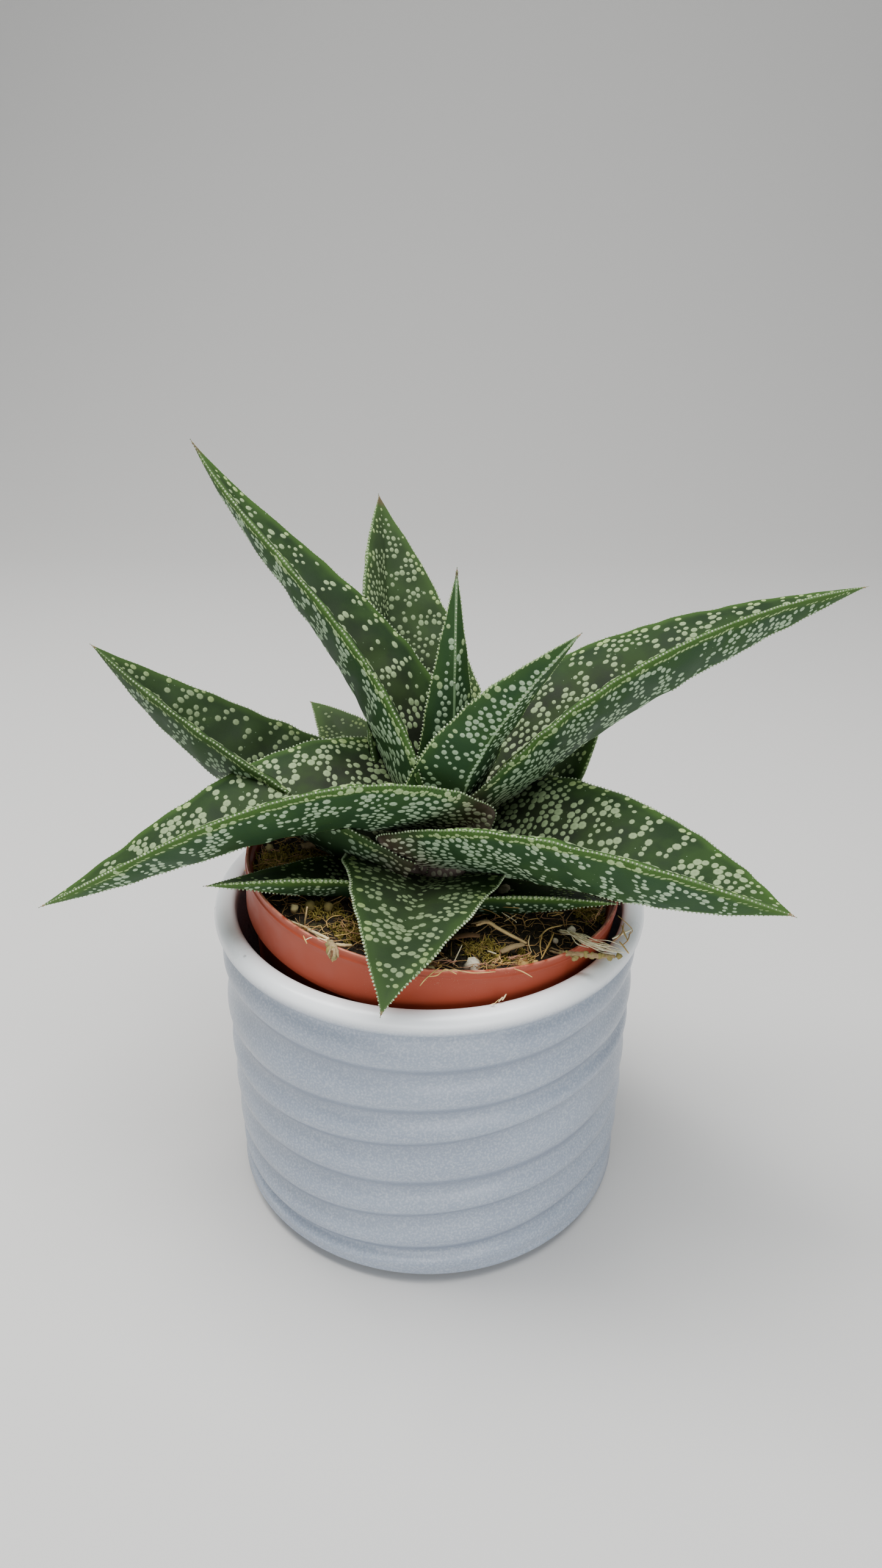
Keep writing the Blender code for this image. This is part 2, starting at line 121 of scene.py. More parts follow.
FLOOR_HALF_WIDTH = 3.0
FLOOR_FRONT = -2.5
FLOOR_BACK = 1.6
BACKDROP_RADIUS = 0.8
BACKDROP_TOP = 2.6
BACKDROP_STEPS = 12
PALE_PAPER = (0.64, 0.63, 0.61, 1.0)

floor_line = [(FLOOR_FRONT, 0.0), (FLOOR_BACK - BACKDROP_RADIUS, 0.0)]
for step in range(1, BACKDROP_STEPS + 1):
    bend = math.radians(90 * step / BACKDROP_STEPS)
    y = FLOOR_BACK - BACKDROP_RADIUS + BACKDROP_RADIUS * math.sin(bend)
    floor_line.append((y, BACKDROP_RADIUS * (1 - math.cos(bend))))
floor_line.append((FLOOR_BACK, BACKDROP_TOP))
floor_points = [(x, y, z) for y, z in floor_line for x in (-FLOOR_HALF_WIDTH, FLOOR_HALF_WIDTH)]
floor_faces = [(2 * i, 2 * i + 1, 2 * i + 3, 2 * i + 2) for i in range(len(floor_line) - 1)]
floor_mesh = bpy.data.meshes.new("floor")
floor_mesh.from_pydata(floor_points, [], floor_faces)
floor_mesh.shade_smooth()
floor_paint, _, floor_shader = new_material("floor paper", roughness=0.8)
floor_shader.inputs["Base Color"].default_value = PALE_PAPER
make_object("floor", floor_mesh, floor_paint)
print("Floor strips:", len(floor_faces))

# %% Lamps
MIDDLE_OF_PLANT = Vector((0.0, 0.0, 0.12))
LAMP_KEYS = ("place", "size", "power", "colour")
LAMPS = {
    "window": ((-0.4, 0.15, 1.1), (0.6, 0.6), 13.0, (1.0, 0.99, 0.97)),
    "ceiling": ((0.15, -0.15, 1.2), (0.7, 0.7), 13.0, (0.97, 0.985, 1.0)),
    "room": ((0.1, -1.2, 0.25), (1.4, 0.5), 8.5, (0.95, 0.975, 1.0)),
}
SKY = (0.93, 0.96, 1.0, 1.0)
SKY_STRENGTH = 0.34

for name, row in LAMPS.items():
    values = dict(zip(LAMP_KEYS, row))
    lamp = bpy.data.lights.new(name, "AREA")
    lamp.shape = "RECTANGLE"
    lamp.size, lamp.size_y = values["size"]
    lamp.energy = values["power"]
    lamp.color = values["colour"]
    made = bpy.data.objects.new(name, lamp)
    bpy.context.scene.collection.objects.link(made)
    made.location = values["place"]
    made.rotation_euler = (MIDDLE_OF_PLANT - made.location).to_track_quat("-Z", "Y").to_euler()
world = bpy.data.worlds.new("studio")
world.use_nodes = True
world.node_tree.nodes["Background"].inputs["Color"].default_value = SKY
world.node_tree.nodes["Background"].inputs["Strength"].default_value = SKY_STRENGTH
bpy.context.scene.world = world
print("Lamps:", ", ".join(LAMPS))

# %% [markdown]
# ## The shape of a leaf
#
# A gasteraloe leaf is a thick boat: a channel above, a keel below and a rounded lip on both margins. It
# could be sculpted, but fourteen leaves that differ only in size and pose are better written as one
# formula. A middle line is bent in space by three slopes. Across it stands a section of four curves,
# from margin to channel, on to the other margin, to the keel and back, that shrinks towards the tip.

# %% Leaf values
LEAF_KEYS = "turn swing rise length width fullness clasp keel flesh roll base sheath root".split()
LEAF_ROWS = {
    "leaf_bud": (85, 0, (86, 84, 80), 31, 4, 1.6, 0.75, 0.7, 3, (0, 0), (4, 3, 140)),
    "leaf_centre_upright": (-69, 1, (88, 84, 82), 79, 11, 1.45, 0.75, 0.7, 4, (2, 0), (5, 9, 141), 8, 124),
    "leaf_centre_right": (-35, -1, (81, 45, 45), 92, 17, 1.6, 0.85, 0.66, 6, (21, 19), (1, -3, 136), 11, 120),
    "leaf_upper_left": (153, -6, (91, 9, 44), 152, 23, 1.8, 0.78, 0.94, 9, (-13, -5), (6, 3, 139), 14, 118),
    "leaf_long_right": (14, -3, (52, 13, 4), 160, 24.5, 2.4, 0.75, 1.0, 9, (1, 17), (2, 2, 146), 15, 118),
    "leaf_back": (118, -8, (73, 54, 45), 118, 29, 2.6, 0.6, 0.82, 8, (-16, -16), (6, 16, 127), 17, 116),
    "leaf_low_left": (203, -14, (41, -42, -30), 145, 27, 2.25, 0.84, 0.91, 9, (-6, -7), (9, 1, 150), 19, 118),
    "leaf_low_right": (-33, -3, (24, -4, -17), 124, 29, 3.5, 0.94, 0.92, 9, (1, 17), (0, 2, 142), 21, 118),
    "leaf_back_right": (30, 0, (34, 40, 44), 74, 20, 2.4, 0.85, 0.8, 7, (-12, -12), (11, 8, 121)),
    "leaf_left": (169, 4, (25, 24, 32), 124, 26, 2.2, 0.95, 1.08, 9, (-2, -5), (0, 1, 133)),
    "leaf_back_left": (122, -2, (38, 16, -5), 84, 19, 1.6, 0.75, 0.6, 6, (16, 0), (-6, 6, 124)),
    "leaf_front": (-94, -8, (20, 1, -22), 87, 28, 1.55, 0.97, 0.45, 6, (3, 2), (0, -3, 126)),
    "leaf_small_left": (210, 5, (22, 10, 9), 70, 17, 1.85, 0.75, 0.66, 6, (-5, -16), (-8, -7, 121)),
    "leaf_small_right": (-21, -4, (13, 9, 1), 53, 14, 1.8, 0.75, 0.74, 6, (14, 8), (10, -10, 117)),
}
LEAVES = {name: dict(zip(LEAF_KEYS, row)) for name, row in LEAF_ROWS.items()}
for leaf in LEAVES.values():
    leaf["root_roll"] = 0
LEAVES["leaf_low_right"]["root_roll"] = 24
STEM_PLACE = (2, 1)
SHEATH_BEND = 22
print("Leaves:", len(LEAVES), "longest", max(leaf["length"] for leaf in LEAVES.values()), "mm")


# %% Middle line
WALK_STEPS = 400


def unit(vectors):
    """The same directions, each a unit long."""
    return vectors / np.linalg.norm(vectors, axis=-1, keepdims=True)


def heading(angle, slope):
    """Directions from a compass angle and a slope, in radians."""
    flat = np.cos(slope)
    up = np.sin(slope) * np.ones_like(angle)
    return np.stack([flat * np.cos(angle), flat * np.sin(angle), up], axis=-1)


def middle_line(leaf, share):
    """Points of the leaf's middle line and its directions, at shares of its length."""
    rise = np.radians(leaf["rise"])

    def direction(s):
        slope = (1 - s) ** 2 * rise[0] + 2 * s * (1 - s) * rise[1] + s * s * rise[2]
        return heading(np.radians(leaf["turn"] + leaf["swing"] * s), slope)

    fine = np.linspace(0, 1, WALK_STEPS + 1)
    steps = direction((fine[1:] + fine[:-1]) / 2) * leaf["length"] / WALK_STEPS
    walked = np.array(leaf["base"], float) + np.concatenate([np.zeros((1, 3)), np.cumsum(steps, axis=0)])
    place = np.stack([np.interp(share, fine, walked[:, axis]) for axis in range(3)], axis=-1)
    return place, direction(share)


def section_axes(along, angle, roll):
    """The directions across each section and up out of its channel."""
    side = np.stack([np.sin(angle), -np.cos(angle), np.zeros_like(angle)], axis=-1)
    side = unit(side - along * np.sum(side * along, axis=-1, keepdims=True))
    up = np.cross(side, along)
    turn_by, rise_by = np.cos(roll)[:, None], np.sin(roll)[:, None]
    return turn_by * side + rise_by * up, -rise_by * side + turn_by * up


longest = LEAVES["leaf_long_right"]
print("Tip of the longest leaf, mm:", np.round(middle_line(longest, np.array([1.0]))[0][0], 1))

# %% [markdown]
# The lip on each margin is what makes the leaf look fleshy. The section's corners are rounded by
# smoothing its outline over a fixed distance, which is what a chisel or a bevel does, and which keeps
# the same roundness from the broad base to the narrow tip.

# %% Section
UPPER_FOLD = (0.55, 0.28)
ROUND_UPPER_FOLD = (0.65, 0.70)
OUTER_FOLD = (0.6, 0.52)
ROUND_OUTER_FOLD = (0.7, 0.71)
QUARTER = 20
LIP_ROUNDING = 0.75
LIP_HEIGHT = 0.35
LIP_REACH = 1.5
ROW_GAP = 2.7
MOST_ROUNDED = 0.2
MOST_ROW_GAP = 0.3
FULL_LIP_FROM = 8
DENSE = 60
EVEN = 480


def fold_power(plain, round_one, roundness):
    """The power whose curve passes through the fold of a section's face."""
    out = plain[0] + (round_one[0] - plain[0]) * roundness
    down = plain[1] + (round_one[1] - plain[1]) * roundness
    return math.log(down) / math.log(1 - out)


def section_outline(half, keel, channel, roundness, left, right):
    """A closed outline of 4 * QUARTER points, and what each point knows of the margins and the keel."""
    q = 0.5 + 0.5 * np.cos(np.linspace(0, math.pi, DENSE + 1))
    upper = -channel * (1 - q) ** fold_power(UPPER_FOLD, ROUND_UPPER_FOLD, roundness)
    outer = -keel * (1 - q) ** fold_power(OUTER_FOLD, ROUND_OUTER_FOLD, roundness)
    x = np.concatenate([q[:-1] * right, -q[:0:-1] * left, -q[:-1] * left, q[:0:-1] * right]) * half
    y = np.concatenate([upper[:-1], upper[:0:-1], outer[:-1], outer[:0:-1]])
    outline = np.stack([x, y], axis=1)
    ends = np.roll(outline, -1, axis=0)
    arc = np.concatenate([[0], np.cumsum(np.linalg.norm(ends - outline, axis=1))])
    corners = arc[[0, DENSE, 2 * DENSE, 3 * DENSE, 4 * DENSE]]
    even = np.arange(EVEN) / EVEN * arc[-1]
    closed = np.concatenate([outline, outline[:1]])
    smooth = np.interp(even, arc, closed[:, 0]) + 1j * np.interp(even, arc, closed[:, 1])
    spread = min(LIP_ROUNDING, MOST_ROUNDED * half) / (arc[-1] / EVEN)
    smooth = np.fft.ifft(np.fft.fft(smooth) * np.exp(-2 * (math.pi * spread * np.fft.fftfreq(EVEN)) ** 2))
    smooth = np.append(smooth, smooth[0])
    even = np.append(even, arc[-1])
    quarters = zip(corners[:-1], corners[1:])
    stops = np.concatenate([np.linspace(a, b, QUARTER, endpoint=False) for a, b in quarters])
    points = np.stack([np.interp(stops, even, smooth.real), np.interp(stops, even, smooth.imag)], axis=1)
    margins = np.array([corners[0], corners[2], corners[4]])
    edge = np.abs(stops[:, None] - margins).min(axis=1)
    keel_gap = np.abs(stops - corners[3])
    ahead, behind = np.roll(points, -1, axis=0), np.roll(points, 1, axis=0)
    normal = np.stack([(ahead - behind)[:, 1], -(ahead - behind)[:, 0]], axis=1)
    normal /= np.linalg.norm(normal, axis=1, keepdims=True)
    lip = LIP_HEIGHT * min(1, half / FULL_LIP_FROM) * np.exp(-((edge / LIP_REACH) ** 2))
    row = np.zeros((4 * QUARTER, 2))
    gap = min(ROW_GAP, MOST_ROW_GAP * (corners[3] - corners[2]))
    for column, stop in ((0, corners[4] - gap), (2 * QUARTER, corners[2] + gap)):
        there = np.interp(stop, even, smooth.real), np.interp(stop, even, smooth.imag)
        row[column] = np.array(there) - points[column]
    return points + normal * lip[:, None], edge, keel_gap, normal, row


print("Points round a section:", 4 * QUARTER)

# %% [markdown]
# The outlines are strung along the middle line, and a clasping base is led from the stem into the first
# of them. Each point also carries what the later steps need: how far it is from the margin and the keel,
# which face it is on, how far out it lies, and which way the leaf runs there. Such attributes cost
# nothing and let colour, spots and teeth follow the leaf, however it is bent.

# %% Width and unevenness of a leaf
ROW_STEP = 1.25
CLASP_REACH = 0.22
ROUND_REACH = 0.3
WAVINESS = 0.02
UNEVENNESS = 0.28
UNEVEN_PITCH = 11
UNEVEN_LAYERS = 6
FULL_UNEVEN_FROM = 12
WAVE_PITCH = 14
WAVE_LAYERS = 5
TIP_CROWDING = 1.12
TIP_POINT = 0.8
THINNEST = 0.45
FLESH_POWER = 0.7
LEAST_CHANNEL = 0.12
BASE_ROUNDNESS = 0.35
SHEATH_BOW = 0.8


def half_width(leaf, s):
    """Half the leaf's width at a share of its length."""
    start = np.clip(s / CLASP_REACH, 0, 1)
    spread = leaf["clasp"] + (1 - leaf["clasp"]) * start * (2 - start)
    return leaf["width"] * spread * (1 - s ** leaf["fullness"])


def waves(rng, places, pitch):
    """A smooth random line between -1 and 1."""
    made = np.zeros(len(places))
    for _ in range(WAVE_LAYERS):
        made += np.sin(places * 2 * math.pi / (pitch * rng.uniform(0.6, 1.8)) + rng.uniform(0, 2 * math.pi))
    return made / 3


print("Half widths of the longest leaf, mm:", np.round(half_width(longest, np.linspace(0, 1, 5)), 1))


# %% Sections along a leaf
def leaf_rows(leaf, step):
    """Centre, axes and shape of every section from the root to just short of the tip."""
    count = max(int(leaf["length"] / step), 20)
    share = 1 - (1 - np.linspace(0, 1, count + 1)[:-1]) ** TIP_CROWDING
    place, along = middle_line(leaf, share)
    angle = np.radians(leaf["turn"] + leaf["swing"] * share)
    roll = np.radians(leaf["roll"][0] + leaf["roll"][1] * share)
    across, up = section_axes(along, angle, roll)
    half = np.maximum(half_width(leaf, share), THINNEST)
    keel = np.maximum(leaf["keel"] * half, THINNEST)
    flesh = leaf["flesh"] * (half / leaf["width"]) ** FLESH_POWER
    channel = np.maximum(keel - flesh, LEAST_CHANNEL * keel) * (1 - share ** 6)
    roundness = BASE_ROUNDNESS * np.clip(1 - share / ROUND_REACH, 0, 1)
    shape = np.stack([half, keel, channel, roundness], axis=1)
    if "sheath" in leaf:
        bend = np.radians(min(leaf["rise"][0] + SHEATH_BEND, 90))
        turn = np.radians(np.array([float(leaf["turn"])]))
        root_along = heading(turn, bend)
        root_roll = np.radians(np.array([float(leaf["roll"][0] + leaf["root_roll"])]))
        root_axes = section_axes(root_along, turn, root_roll)
        root_place = np.array([[*STEM_PLACE, leaf["root"]]], float)
        sheath = leaf["sheath"]
        root_shape = np.array([[sheath, sheath, 0.3 * sheath, 0.5]])
        reach = np.linalg.norm(place[0] - root_place[0])
        t = np.linspace(0, 1, max(int(reach / step), 6), endpoint=False)[:, None]
        ease = t * t * (3 - 2 * t)
        bow = (t ** 3 - 2 * t ** 2 + t) * root_along + (t ** 3 - t ** 2) * along[0]
        line = root_place + (place[0] - root_place) * ease + bow * reach * SHEATH_BOW
        place = np.concatenate([line, place])
        along = np.concatenate([unit(root_along + (along[0] - root_along) * ease), along])
        across = np.concatenate([unit(root_axes[0] + (across[0] - root_axes[0]) * ease), across])
        up = np.concatenate([unit(root_axes[1] + (up[0] - root_axes[1]) * ease), up])
        shape = np.concatenate([root_shape + (shape[0] - root_shape) * ease, shape])
        share = np.concatenate([-(1 - t[:, 0]) * reach / leaf["length"], share])
    return share, place, along, across, up, shape


print("Sections of the longest leaf:", len(leaf_rows(longest, ROW_STEP)[0]))

# %% Leaf skin
MARGIN_BANDS = {"leaf_centre_right": 0.3, "leaf_centre_upright": 0.25, "leaf_back": 0.6, "leaf_front": 0.6}
# Painted shade: how far each of these leaves is darkened, chiefly leaves that face up into the top lamps.
PAINTED_SHADE_LEAVES = {"leaf_front": 0.4, "leaf_left": 0.38, "leaf_back_left": 0.45, "leaf_small_left": 0.1}
HAZY_LEAVES = {"leaf_back": 0.06, "leaf_back_left": 0.1}
BROWN_TIPS = ("leaf_back", "leaf_upper_left", "leaf_centre_upright")


def write_attribute(mesh, name, values):
    """Stores a number for each point, or a vector where the values have three columns."""
    kind, key = ("FLOAT_VECTOR", "vector") if values.ndim == 2 else ("FLOAT", "value")
    made = mesh.attributes.new(name, kind, "POINT")
    made.data.foreach_set(key, values.astype(np.float32).ravel())


def leaf_skin(name, leaf, grow=0.0, step=ROW_STEP):
    """A closed skin of one leaf, with its attributes. A grown one is a cutter and is larger all round."""
    rng = np.random.default_rng(sum(ord(letter) * (i + 3) for i, letter in enumerate(name)))
    share, place, along, across, up, shape = leaf_rows(leaf, step)
    length = share * leaf["length"]
    left = 1 + WAVINESS * waves(rng, length, WAVE_PITCH)
    right = 1 + WAVINESS * waves(rng, length, WAVE_PITCH)
    phases = rng.uniform(0, 2 * math.pi, UNEVEN_LAYERS)
    points, edges, keels, grain, outward, acrosses, rows = [], [], [], [], [], [], []
    for i in range(len(share)):
        half = shape[i][0]
        outline, edge, keel_gap, normal, row = section_outline(*shape[i], left[i], right[i])
        bumps = np.zeros(len(outline))
        for j, phase in enumerate(phases):
            pitch = UNEVEN_PITCH + 4 * j
            bumps += np.sin(outline[:, 0] * 4 / pitch * (-1) ** j + length[i] * 6.3 / pitch + phase)
        level = UNEVENNESS * min(half / FULL_UNEVEN_FROM, 1) * bumps / 3 + grow
        outline = outline + normal * level[:, None]
        points.append(place[i] + outline[:, :1] * across[i] + outline[:, 1:] * up[i])
        outward.append(normal[:, :1] * across[i] + normal[:, 1:] * up[i])
        grain.append(np.repeat(along[i][None], len(outline), axis=0))
        edges.append(edge)
        keels.append(keel_gap)
        rows.append(row[:, :1] * across[i] + row[:, 1:] * up[i])
        acrosses.append(outline[:, 0])
    columns = 4 * QUARTER
    tip, tip_along = middle_line(leaf, np.array([1.0]))
    points = np.concatenate([np.concatenate(points), tip + tip_along * TIP_POINT])
    faces = []
    for i in range(len(share) - 1):
        low = i * columns
        for j in range(columns):
            k = (j + 1) % columns
            faces.append((low + j, low + columns + j, low + columns + k, low + k))
    last = (len(share) - 1) * columns
    apex = len(points) - 1
    faces += [(last + j, apex, last + (j + 1) % columns) for j in range(columns)]
    faces.append(tuple(range(columns)))
    mesh = bpy.data.meshes.new(name)
    mesh.from_pydata((points * MM).tolist(), [], faces)
    upper = np.tile(np.array([1.0] * (2 * QUARTER) + [0.0] * (2 * QUARTER)), len(share))
    upper[0::columns] = 0.5
    upper[2 * QUARTER::columns] = 0.5
    crest = np.zeros(columns * len(share))
    crest[0::columns] = 1
    crest[2 * QUARTER::columns] = 1
    keel_line = np.zeros(columns * len(share))
    keel_line[3 * QUARTER::columns] = 1
    facts = {
        "edge": np.append(np.concatenate(edges), 0),
        "keel": np.append(np.concatenate(keels), 0),
        "upper": np.append(upper, 0.5),
        "share": np.append(np.repeat(share, columns), 1),
        "along": np.append(np.repeat(length, columns), leaf["length"]),
        "across": np.append(np.concatenate(acrosses), 0),
        "crest": np.append(crest, 1),
        "keel_line": np.append(keel_line, 1),
        "kept": np.ones(len(points)),
        "band": np.full(len(points), MARGIN_BANDS.get(name, 1.0)),
        "shade": np.full(len(points), PAINTED_SHADE_LEAVES.get(name, 0.0)),
        "haze": np.full(len(points), HAZY_LEAVES.get(name, 0.0)),
        "brown_tip": np.full(len(points), float(name in BROWN_TIPS)),
        "grain": np.concatenate([np.concatenate(grain), tip_along]),
        "outward": np.concatenate([np.concatenate(outward), tip_along]),
        "row": np.concatenate([np.concatenate(rows) * MM, tip_along * 0]),
    }
    for key, values in facts.items():
        write_attribute(mesh, key, values)
    return mesh


print("Leaves with a colour of their own:", len(set(PAINTED_SHADE_LEAVES) | set(HAZY_LEAVES) | set(BROWN_TIPS)))

# %% [markdown]
# ## Nesting the leaves
#
# In a rosette each younger leaf stands inside the clasping base of the next older one. A fast Boolean
# cuts every leaf by slightly grown copies of the younger ones, so the leaves touch along a hairline and
# none pokes through another. The cut makes a few new points that know nothing of the leaf, and they take
# their attributes from the nearest spot on the uncut skin.

# %% Plain meshes and their points
def settle(obj):
    """Turns the object's modifiers into plain mesh."""
    graph = bpy.context.evaluated_depsgraph_get()
    mesh = bpy.data.meshes.new_from_object(obj.evaluated_get(graph))
    for index in reversed(range(len(mesh.materials))):
        if mesh.materials[index] is None:
            mesh.materials.pop(index=index)
    obj.modifiers.clear()
    old = obj.data
    obj.data = mesh
    bpy.data.meshes.remove(old)


def read_points(mesh):
    """The places of a mesh's points, in three columns."""
    flat = np.zeros(len(mesh.vertices) * 3, np.float32)
    mesh.vertices.foreach_get("co", flat)
    return flat.reshape(-1, 3)


def boxes_meet(one, two):
    """Whether the boxes round two sets of points overlap."""
    low_one, high_one = one.min(axis=0), one.max(axis=0)
    low_two, high_two = two.min(axis=0), two.max(axis=0)
    return bool((low_one < high_two).all() and (low_two < high_one).all())


print("Points on the floor:", len(read_points(floor_mesh)))


# %% Clean up after a cut
WHOLLY_KEPT = 0.999


def keep_largest(mesh):
    """Deletes all but the largest connected piece."""
    edges = np.zeros(len(mesh.edges) * 2, np.int32)
    mesh.edges.foreach_get("vertices", edges)
    edges = edges.reshape(-1, 2)
    group = np.arange(len(mesh.vertices))
    while True:
        low = np.minimum(group[edges[:, 0]], group[edges[:, 1]])
        before = group.copy()
        np.minimum.at(group, edges[:, 0], low)
        np.minimum.at(group, edges[:, 1], low)
        group = group[group]
        if (group == before).all():
            break
    names, counts = np.unique(group, return_counts=True)
    scraps = np.nonzero(group != names[counts.argmax()])[0]
    if len(scraps):
        shape = bmesh.new()
        shape.from_mesh(mesh)
        shape.verts.ensure_lookup_table()
        bmesh.ops.delete(shape, geom=[shape.verts[i] for i in scraps], context="VERTS")
        shape.to_mesh(mesh)
        shape.free()


def mend_attributes(mesh, source):
    """Gives the points that a cut made the attributes of the nearest spot on the uncut skin."""
    kept = np.zeros(len(mesh.vertices), np.float32)
    mesh.attributes["kept"].data.foreach_get("value", kept)
    new_points = np.nonzero(kept < WHOLLY_KEPT)[0]
    mesh.attributes["kept"].data.foreach_set("value", (kept > WHOLLY_KEPT).astype(np.float32))
    source.calc_loop_triangles()
    triangles = [tuple(t.vertices) for t in source.loop_triangles]
    search = BVHTree.FromPolygons([v.co for v in source.vertices], triangles)
    nearest = []
    for index in new_points:
        _, _, face, _ = search.find_nearest(mesh.vertices[index].co)
        corners = triangles[face]
        distances = [(source.vertices[c].co - mesh.vertices[index].co).length for c in corners]
        nearest.append(corners[distances.index(min(distances))])
    for attribute in source.attributes:
        if attribute.name in ("kept", "position") or attribute.data_type not in ("FLOAT", "FLOAT_VECTOR"):
            continue
        width, key = (3, "vector") if attribute.data_type == "FLOAT_VECTOR" else (1, "value")
        values = np.zeros(len(source.vertices) * width, np.float32)
        attribute.data.foreach_get(key, values)
        target = mesh.attributes[attribute.name]
        found = np.zeros(len(mesh.vertices) * width, np.float32)
        target.data.foreach_get(key, found)
        found.reshape(-1, width)[new_points] = values.reshape(-1, width)[nearest]
        target.data.foreach_set(key, found)


# %% Cut the leaves to fit
GAP = 0.3
CUTTER_STEP = 2.3

leaf_objects = {}
cutters = []
for name, leaf in LEAVES.items():
    skin = leaf_skin(name, leaf)
    uncut = skin.copy()
    made = make_object("fine_" + name, skin)
    reach = read_points(skin)
    for cutter, cutter_reach in cutters:
        if boxes_meet(reach, cutter_reach):
            fit = made.modifiers.new("fit", "BOOLEAN")
            fit.operation = "DIFFERENCE"
            fit.solver = "MANIFOLD"
            fit.object = cutter
    settle(made)
    keep_largest(made.data)
    mend_attributes(made.data, uncut)
    grown = make_object("cutter_" + name, leaf_skin(name, leaf, GAP, CUTTER_STEP))
    cutters.append((grown, read_points(grown.data)))
    leaf_objects[name] = made
for cutter, _ in cutters:
    bpy.data.objects.remove(cutter)
print("Leaf skins:", sum(len(obj.data.polygons) for obj in leaf_objects.values()), "faces")

# %% [markdown]
# ## Skin of a leaf
#
# The leaf's colours follow its form: blue-green under the leaf, olive in its channel, bright green beside
# the margins and the keel, a purple brown at the pale clasping base and a dry brown tip. Four leaves are
# darkened by a painted shade, chiefly the ones that face up into the top lamps, and two are a little
# hazier than the rest. One material reads all this from the attributes. A picture texture could do the
# same, but it would need unwrapping fourteen times and would blur up close.

# %% Colour helpers
def srgb(red, green, blue):
    """A colour picked on a screen, 0 to 255, as the linear colour that Blender works in."""
    parts = [c / 255 for c in (red, green, blue)]
    return tuple(c / 12.92 if c <= 0.04045 else ((c + 0.055) / 1.055) ** 2.4 for c in parts) + (1.0,)


def mix(tree, share, one, two):
    """Mixes two colours. Each may be a colour or another node's output."""
    made = tree.nodes.new("ShaderNodeMix")
    made.data_type = "RGBA"
    for socket, value in ((made.inputs[0], share), (made.inputs[6], one), (made.inputs[7], two)):
        if isinstance(value, bpy.types.NodeSocket):
            tree.links.new(value, socket)
        else:
            socket.default_value = value
    return made.outputs[2]


def ramp(tree, value, low, high, start=0.0, end=1.0):
    """A smooth step from start to end while the value goes from low to high."""
    inputs = {"Value": value, "From Min": low, "From Max": high, "To Min": start, "To Max": end}
    return add(tree, "ShaderNodeMapRange", inputs, interpolation_type="SMOOTHSTEP").outputs["Result"]


def maths(tree, operation, one, two=0.0):
    """A sum on two numbers. Each may be a number or another node's output."""
    return add(tree, "ShaderNodeMath", {0: one, 1: two}, operation=operation).outputs[0]


def times(tree, one, two):
    """The product of two numbers."""
    return maths(tree, "MULTIPLY", one, two)


def opposite(tree, share):
    """One minus a share."""
    return maths(tree, "SUBTRACT", 1.0, share)


def attribute(tree, name):
    """The number that the mesh keeps under this name."""
    return add(tree, "ShaderNodeAttribute", attribute_name=name).outputs["Fac"]


def noise_value(tree, scale, detail=2.0):
    """Smooth noise on object coordinates. The scale is in waves per metre."""
    place = add(tree, "ShaderNodeTexCoord").outputs["Object"]
    inputs = {"Vector": place, "Scale": scale, "Detail": detail}
    return add(tree, "ShaderNodeTexNoise", inputs).outputs["Fac"]


def add_bump(tree, shader, height, strength, distance):
    """Makes a shader's surface look rough by a height, without moving it."""
    inputs = {"Strength": strength, "Distance": distance, "Height": height}
    tree.links.new(add(tree, "ShaderNodeBump", inputs).outputs["Normal"], shader.inputs["Normal"])


print("A middle grey on screen is", round(srgb(128, 128, 128)[0], 3), "to a shader")


# %% Leaf colours
UNDER_GREEN = srgb(48, 74, 47)
UPPER_OLIVE = srgb(36, 52, 32)
CHANNEL_BROWN = srgb(40, 45, 34)
MARGIN_GREEN = srgb(70, 101, 45)
LIP_PALE = srgb(122, 144, 100)
BASE_PURPLE = srgb(80, 64, 54)
BASE_MAUVE = srgb(122, 108, 100)
BASE_SPOT = srgb(190, 182, 160)
KEEL_PALE = srgb(150, 180, 136)
TIP_BROWN = srgb(150, 118, 92)
TIP_DARK = srgb(96, 80, 62)
# The colour of the painted shade that darkens a few whole leaves.
PAINTED_SHADE_OLIVE = srgb(38, 50, 30)
HAZE_GREEN = srgb(150, 172, 124)
SPOT_COOL = srgb(166, 190, 156)
SPOT_WARM = srgb(136, 153, 110)
SPOT_ROW = srgb(160, 184, 112)
TOOTH_WHITE = srgb(186, 200, 166)

leaf_material, tree, shader = new_material("gasteraloe skin", roughness=0.58, Specular_IOR_Level=0.06)
edge = attribute(tree, "edge")
keel = attribute(tree, "keel")
upper = attribute(tree, "upper")
share = attribute(tree, "share")
spot = attribute(tree, "spot")
cloud = noise_value(tree, 90, 3)
channel = times(tree, ramp(tree, edge, 5, 16), ramp(tree, share, 0.75, 0.25))
upper_green = mix(tree, channel, UPPER_OLIVE, CHANNEL_BROWN)
green = mix(tree, upper, UNDER_GREEN, upper_green)
green = mix(tree, ramp(tree, cloud, 0.35, 0.7, 0.0, 0.22), green, MARGIN_GREEN)
rib = maths(tree, "MAXIMUM", ramp(tree, edge, 4.5, 1.0), ramp(tree, keel, 3.0, 0.5, 0.0, 0.7))
rib = times(tree, rib, ramp(tree, share, 0.02, 0.25, 0.15, 1.0))
rib = times(tree, rib, attribute(tree, "band"))
green = mix(tree, times(tree, rib, ramp(tree, upper, 0.0, 1.0, 0.85, 0.45)), green, MARGIN_GREEN)
tip_green = times(tree, ramp(tree, share, 0.8, 1.0, 0.0, 0.35), attribute(tree, "band"))
green = mix(tree, tip_green, green, MARGIN_GREEN)
green = mix(tree, ramp(tree, edge, 0.8, 0.1, 0.0, 0.35), green, LIP_PALE)
keel_line = times(tree, ramp(tree, keel, 0.6, 0.25, 0.0, 0.7), ramp(tree, share, 0.04, 0.2))
green = mix(tree, keel_line, green, KEEL_PALE)
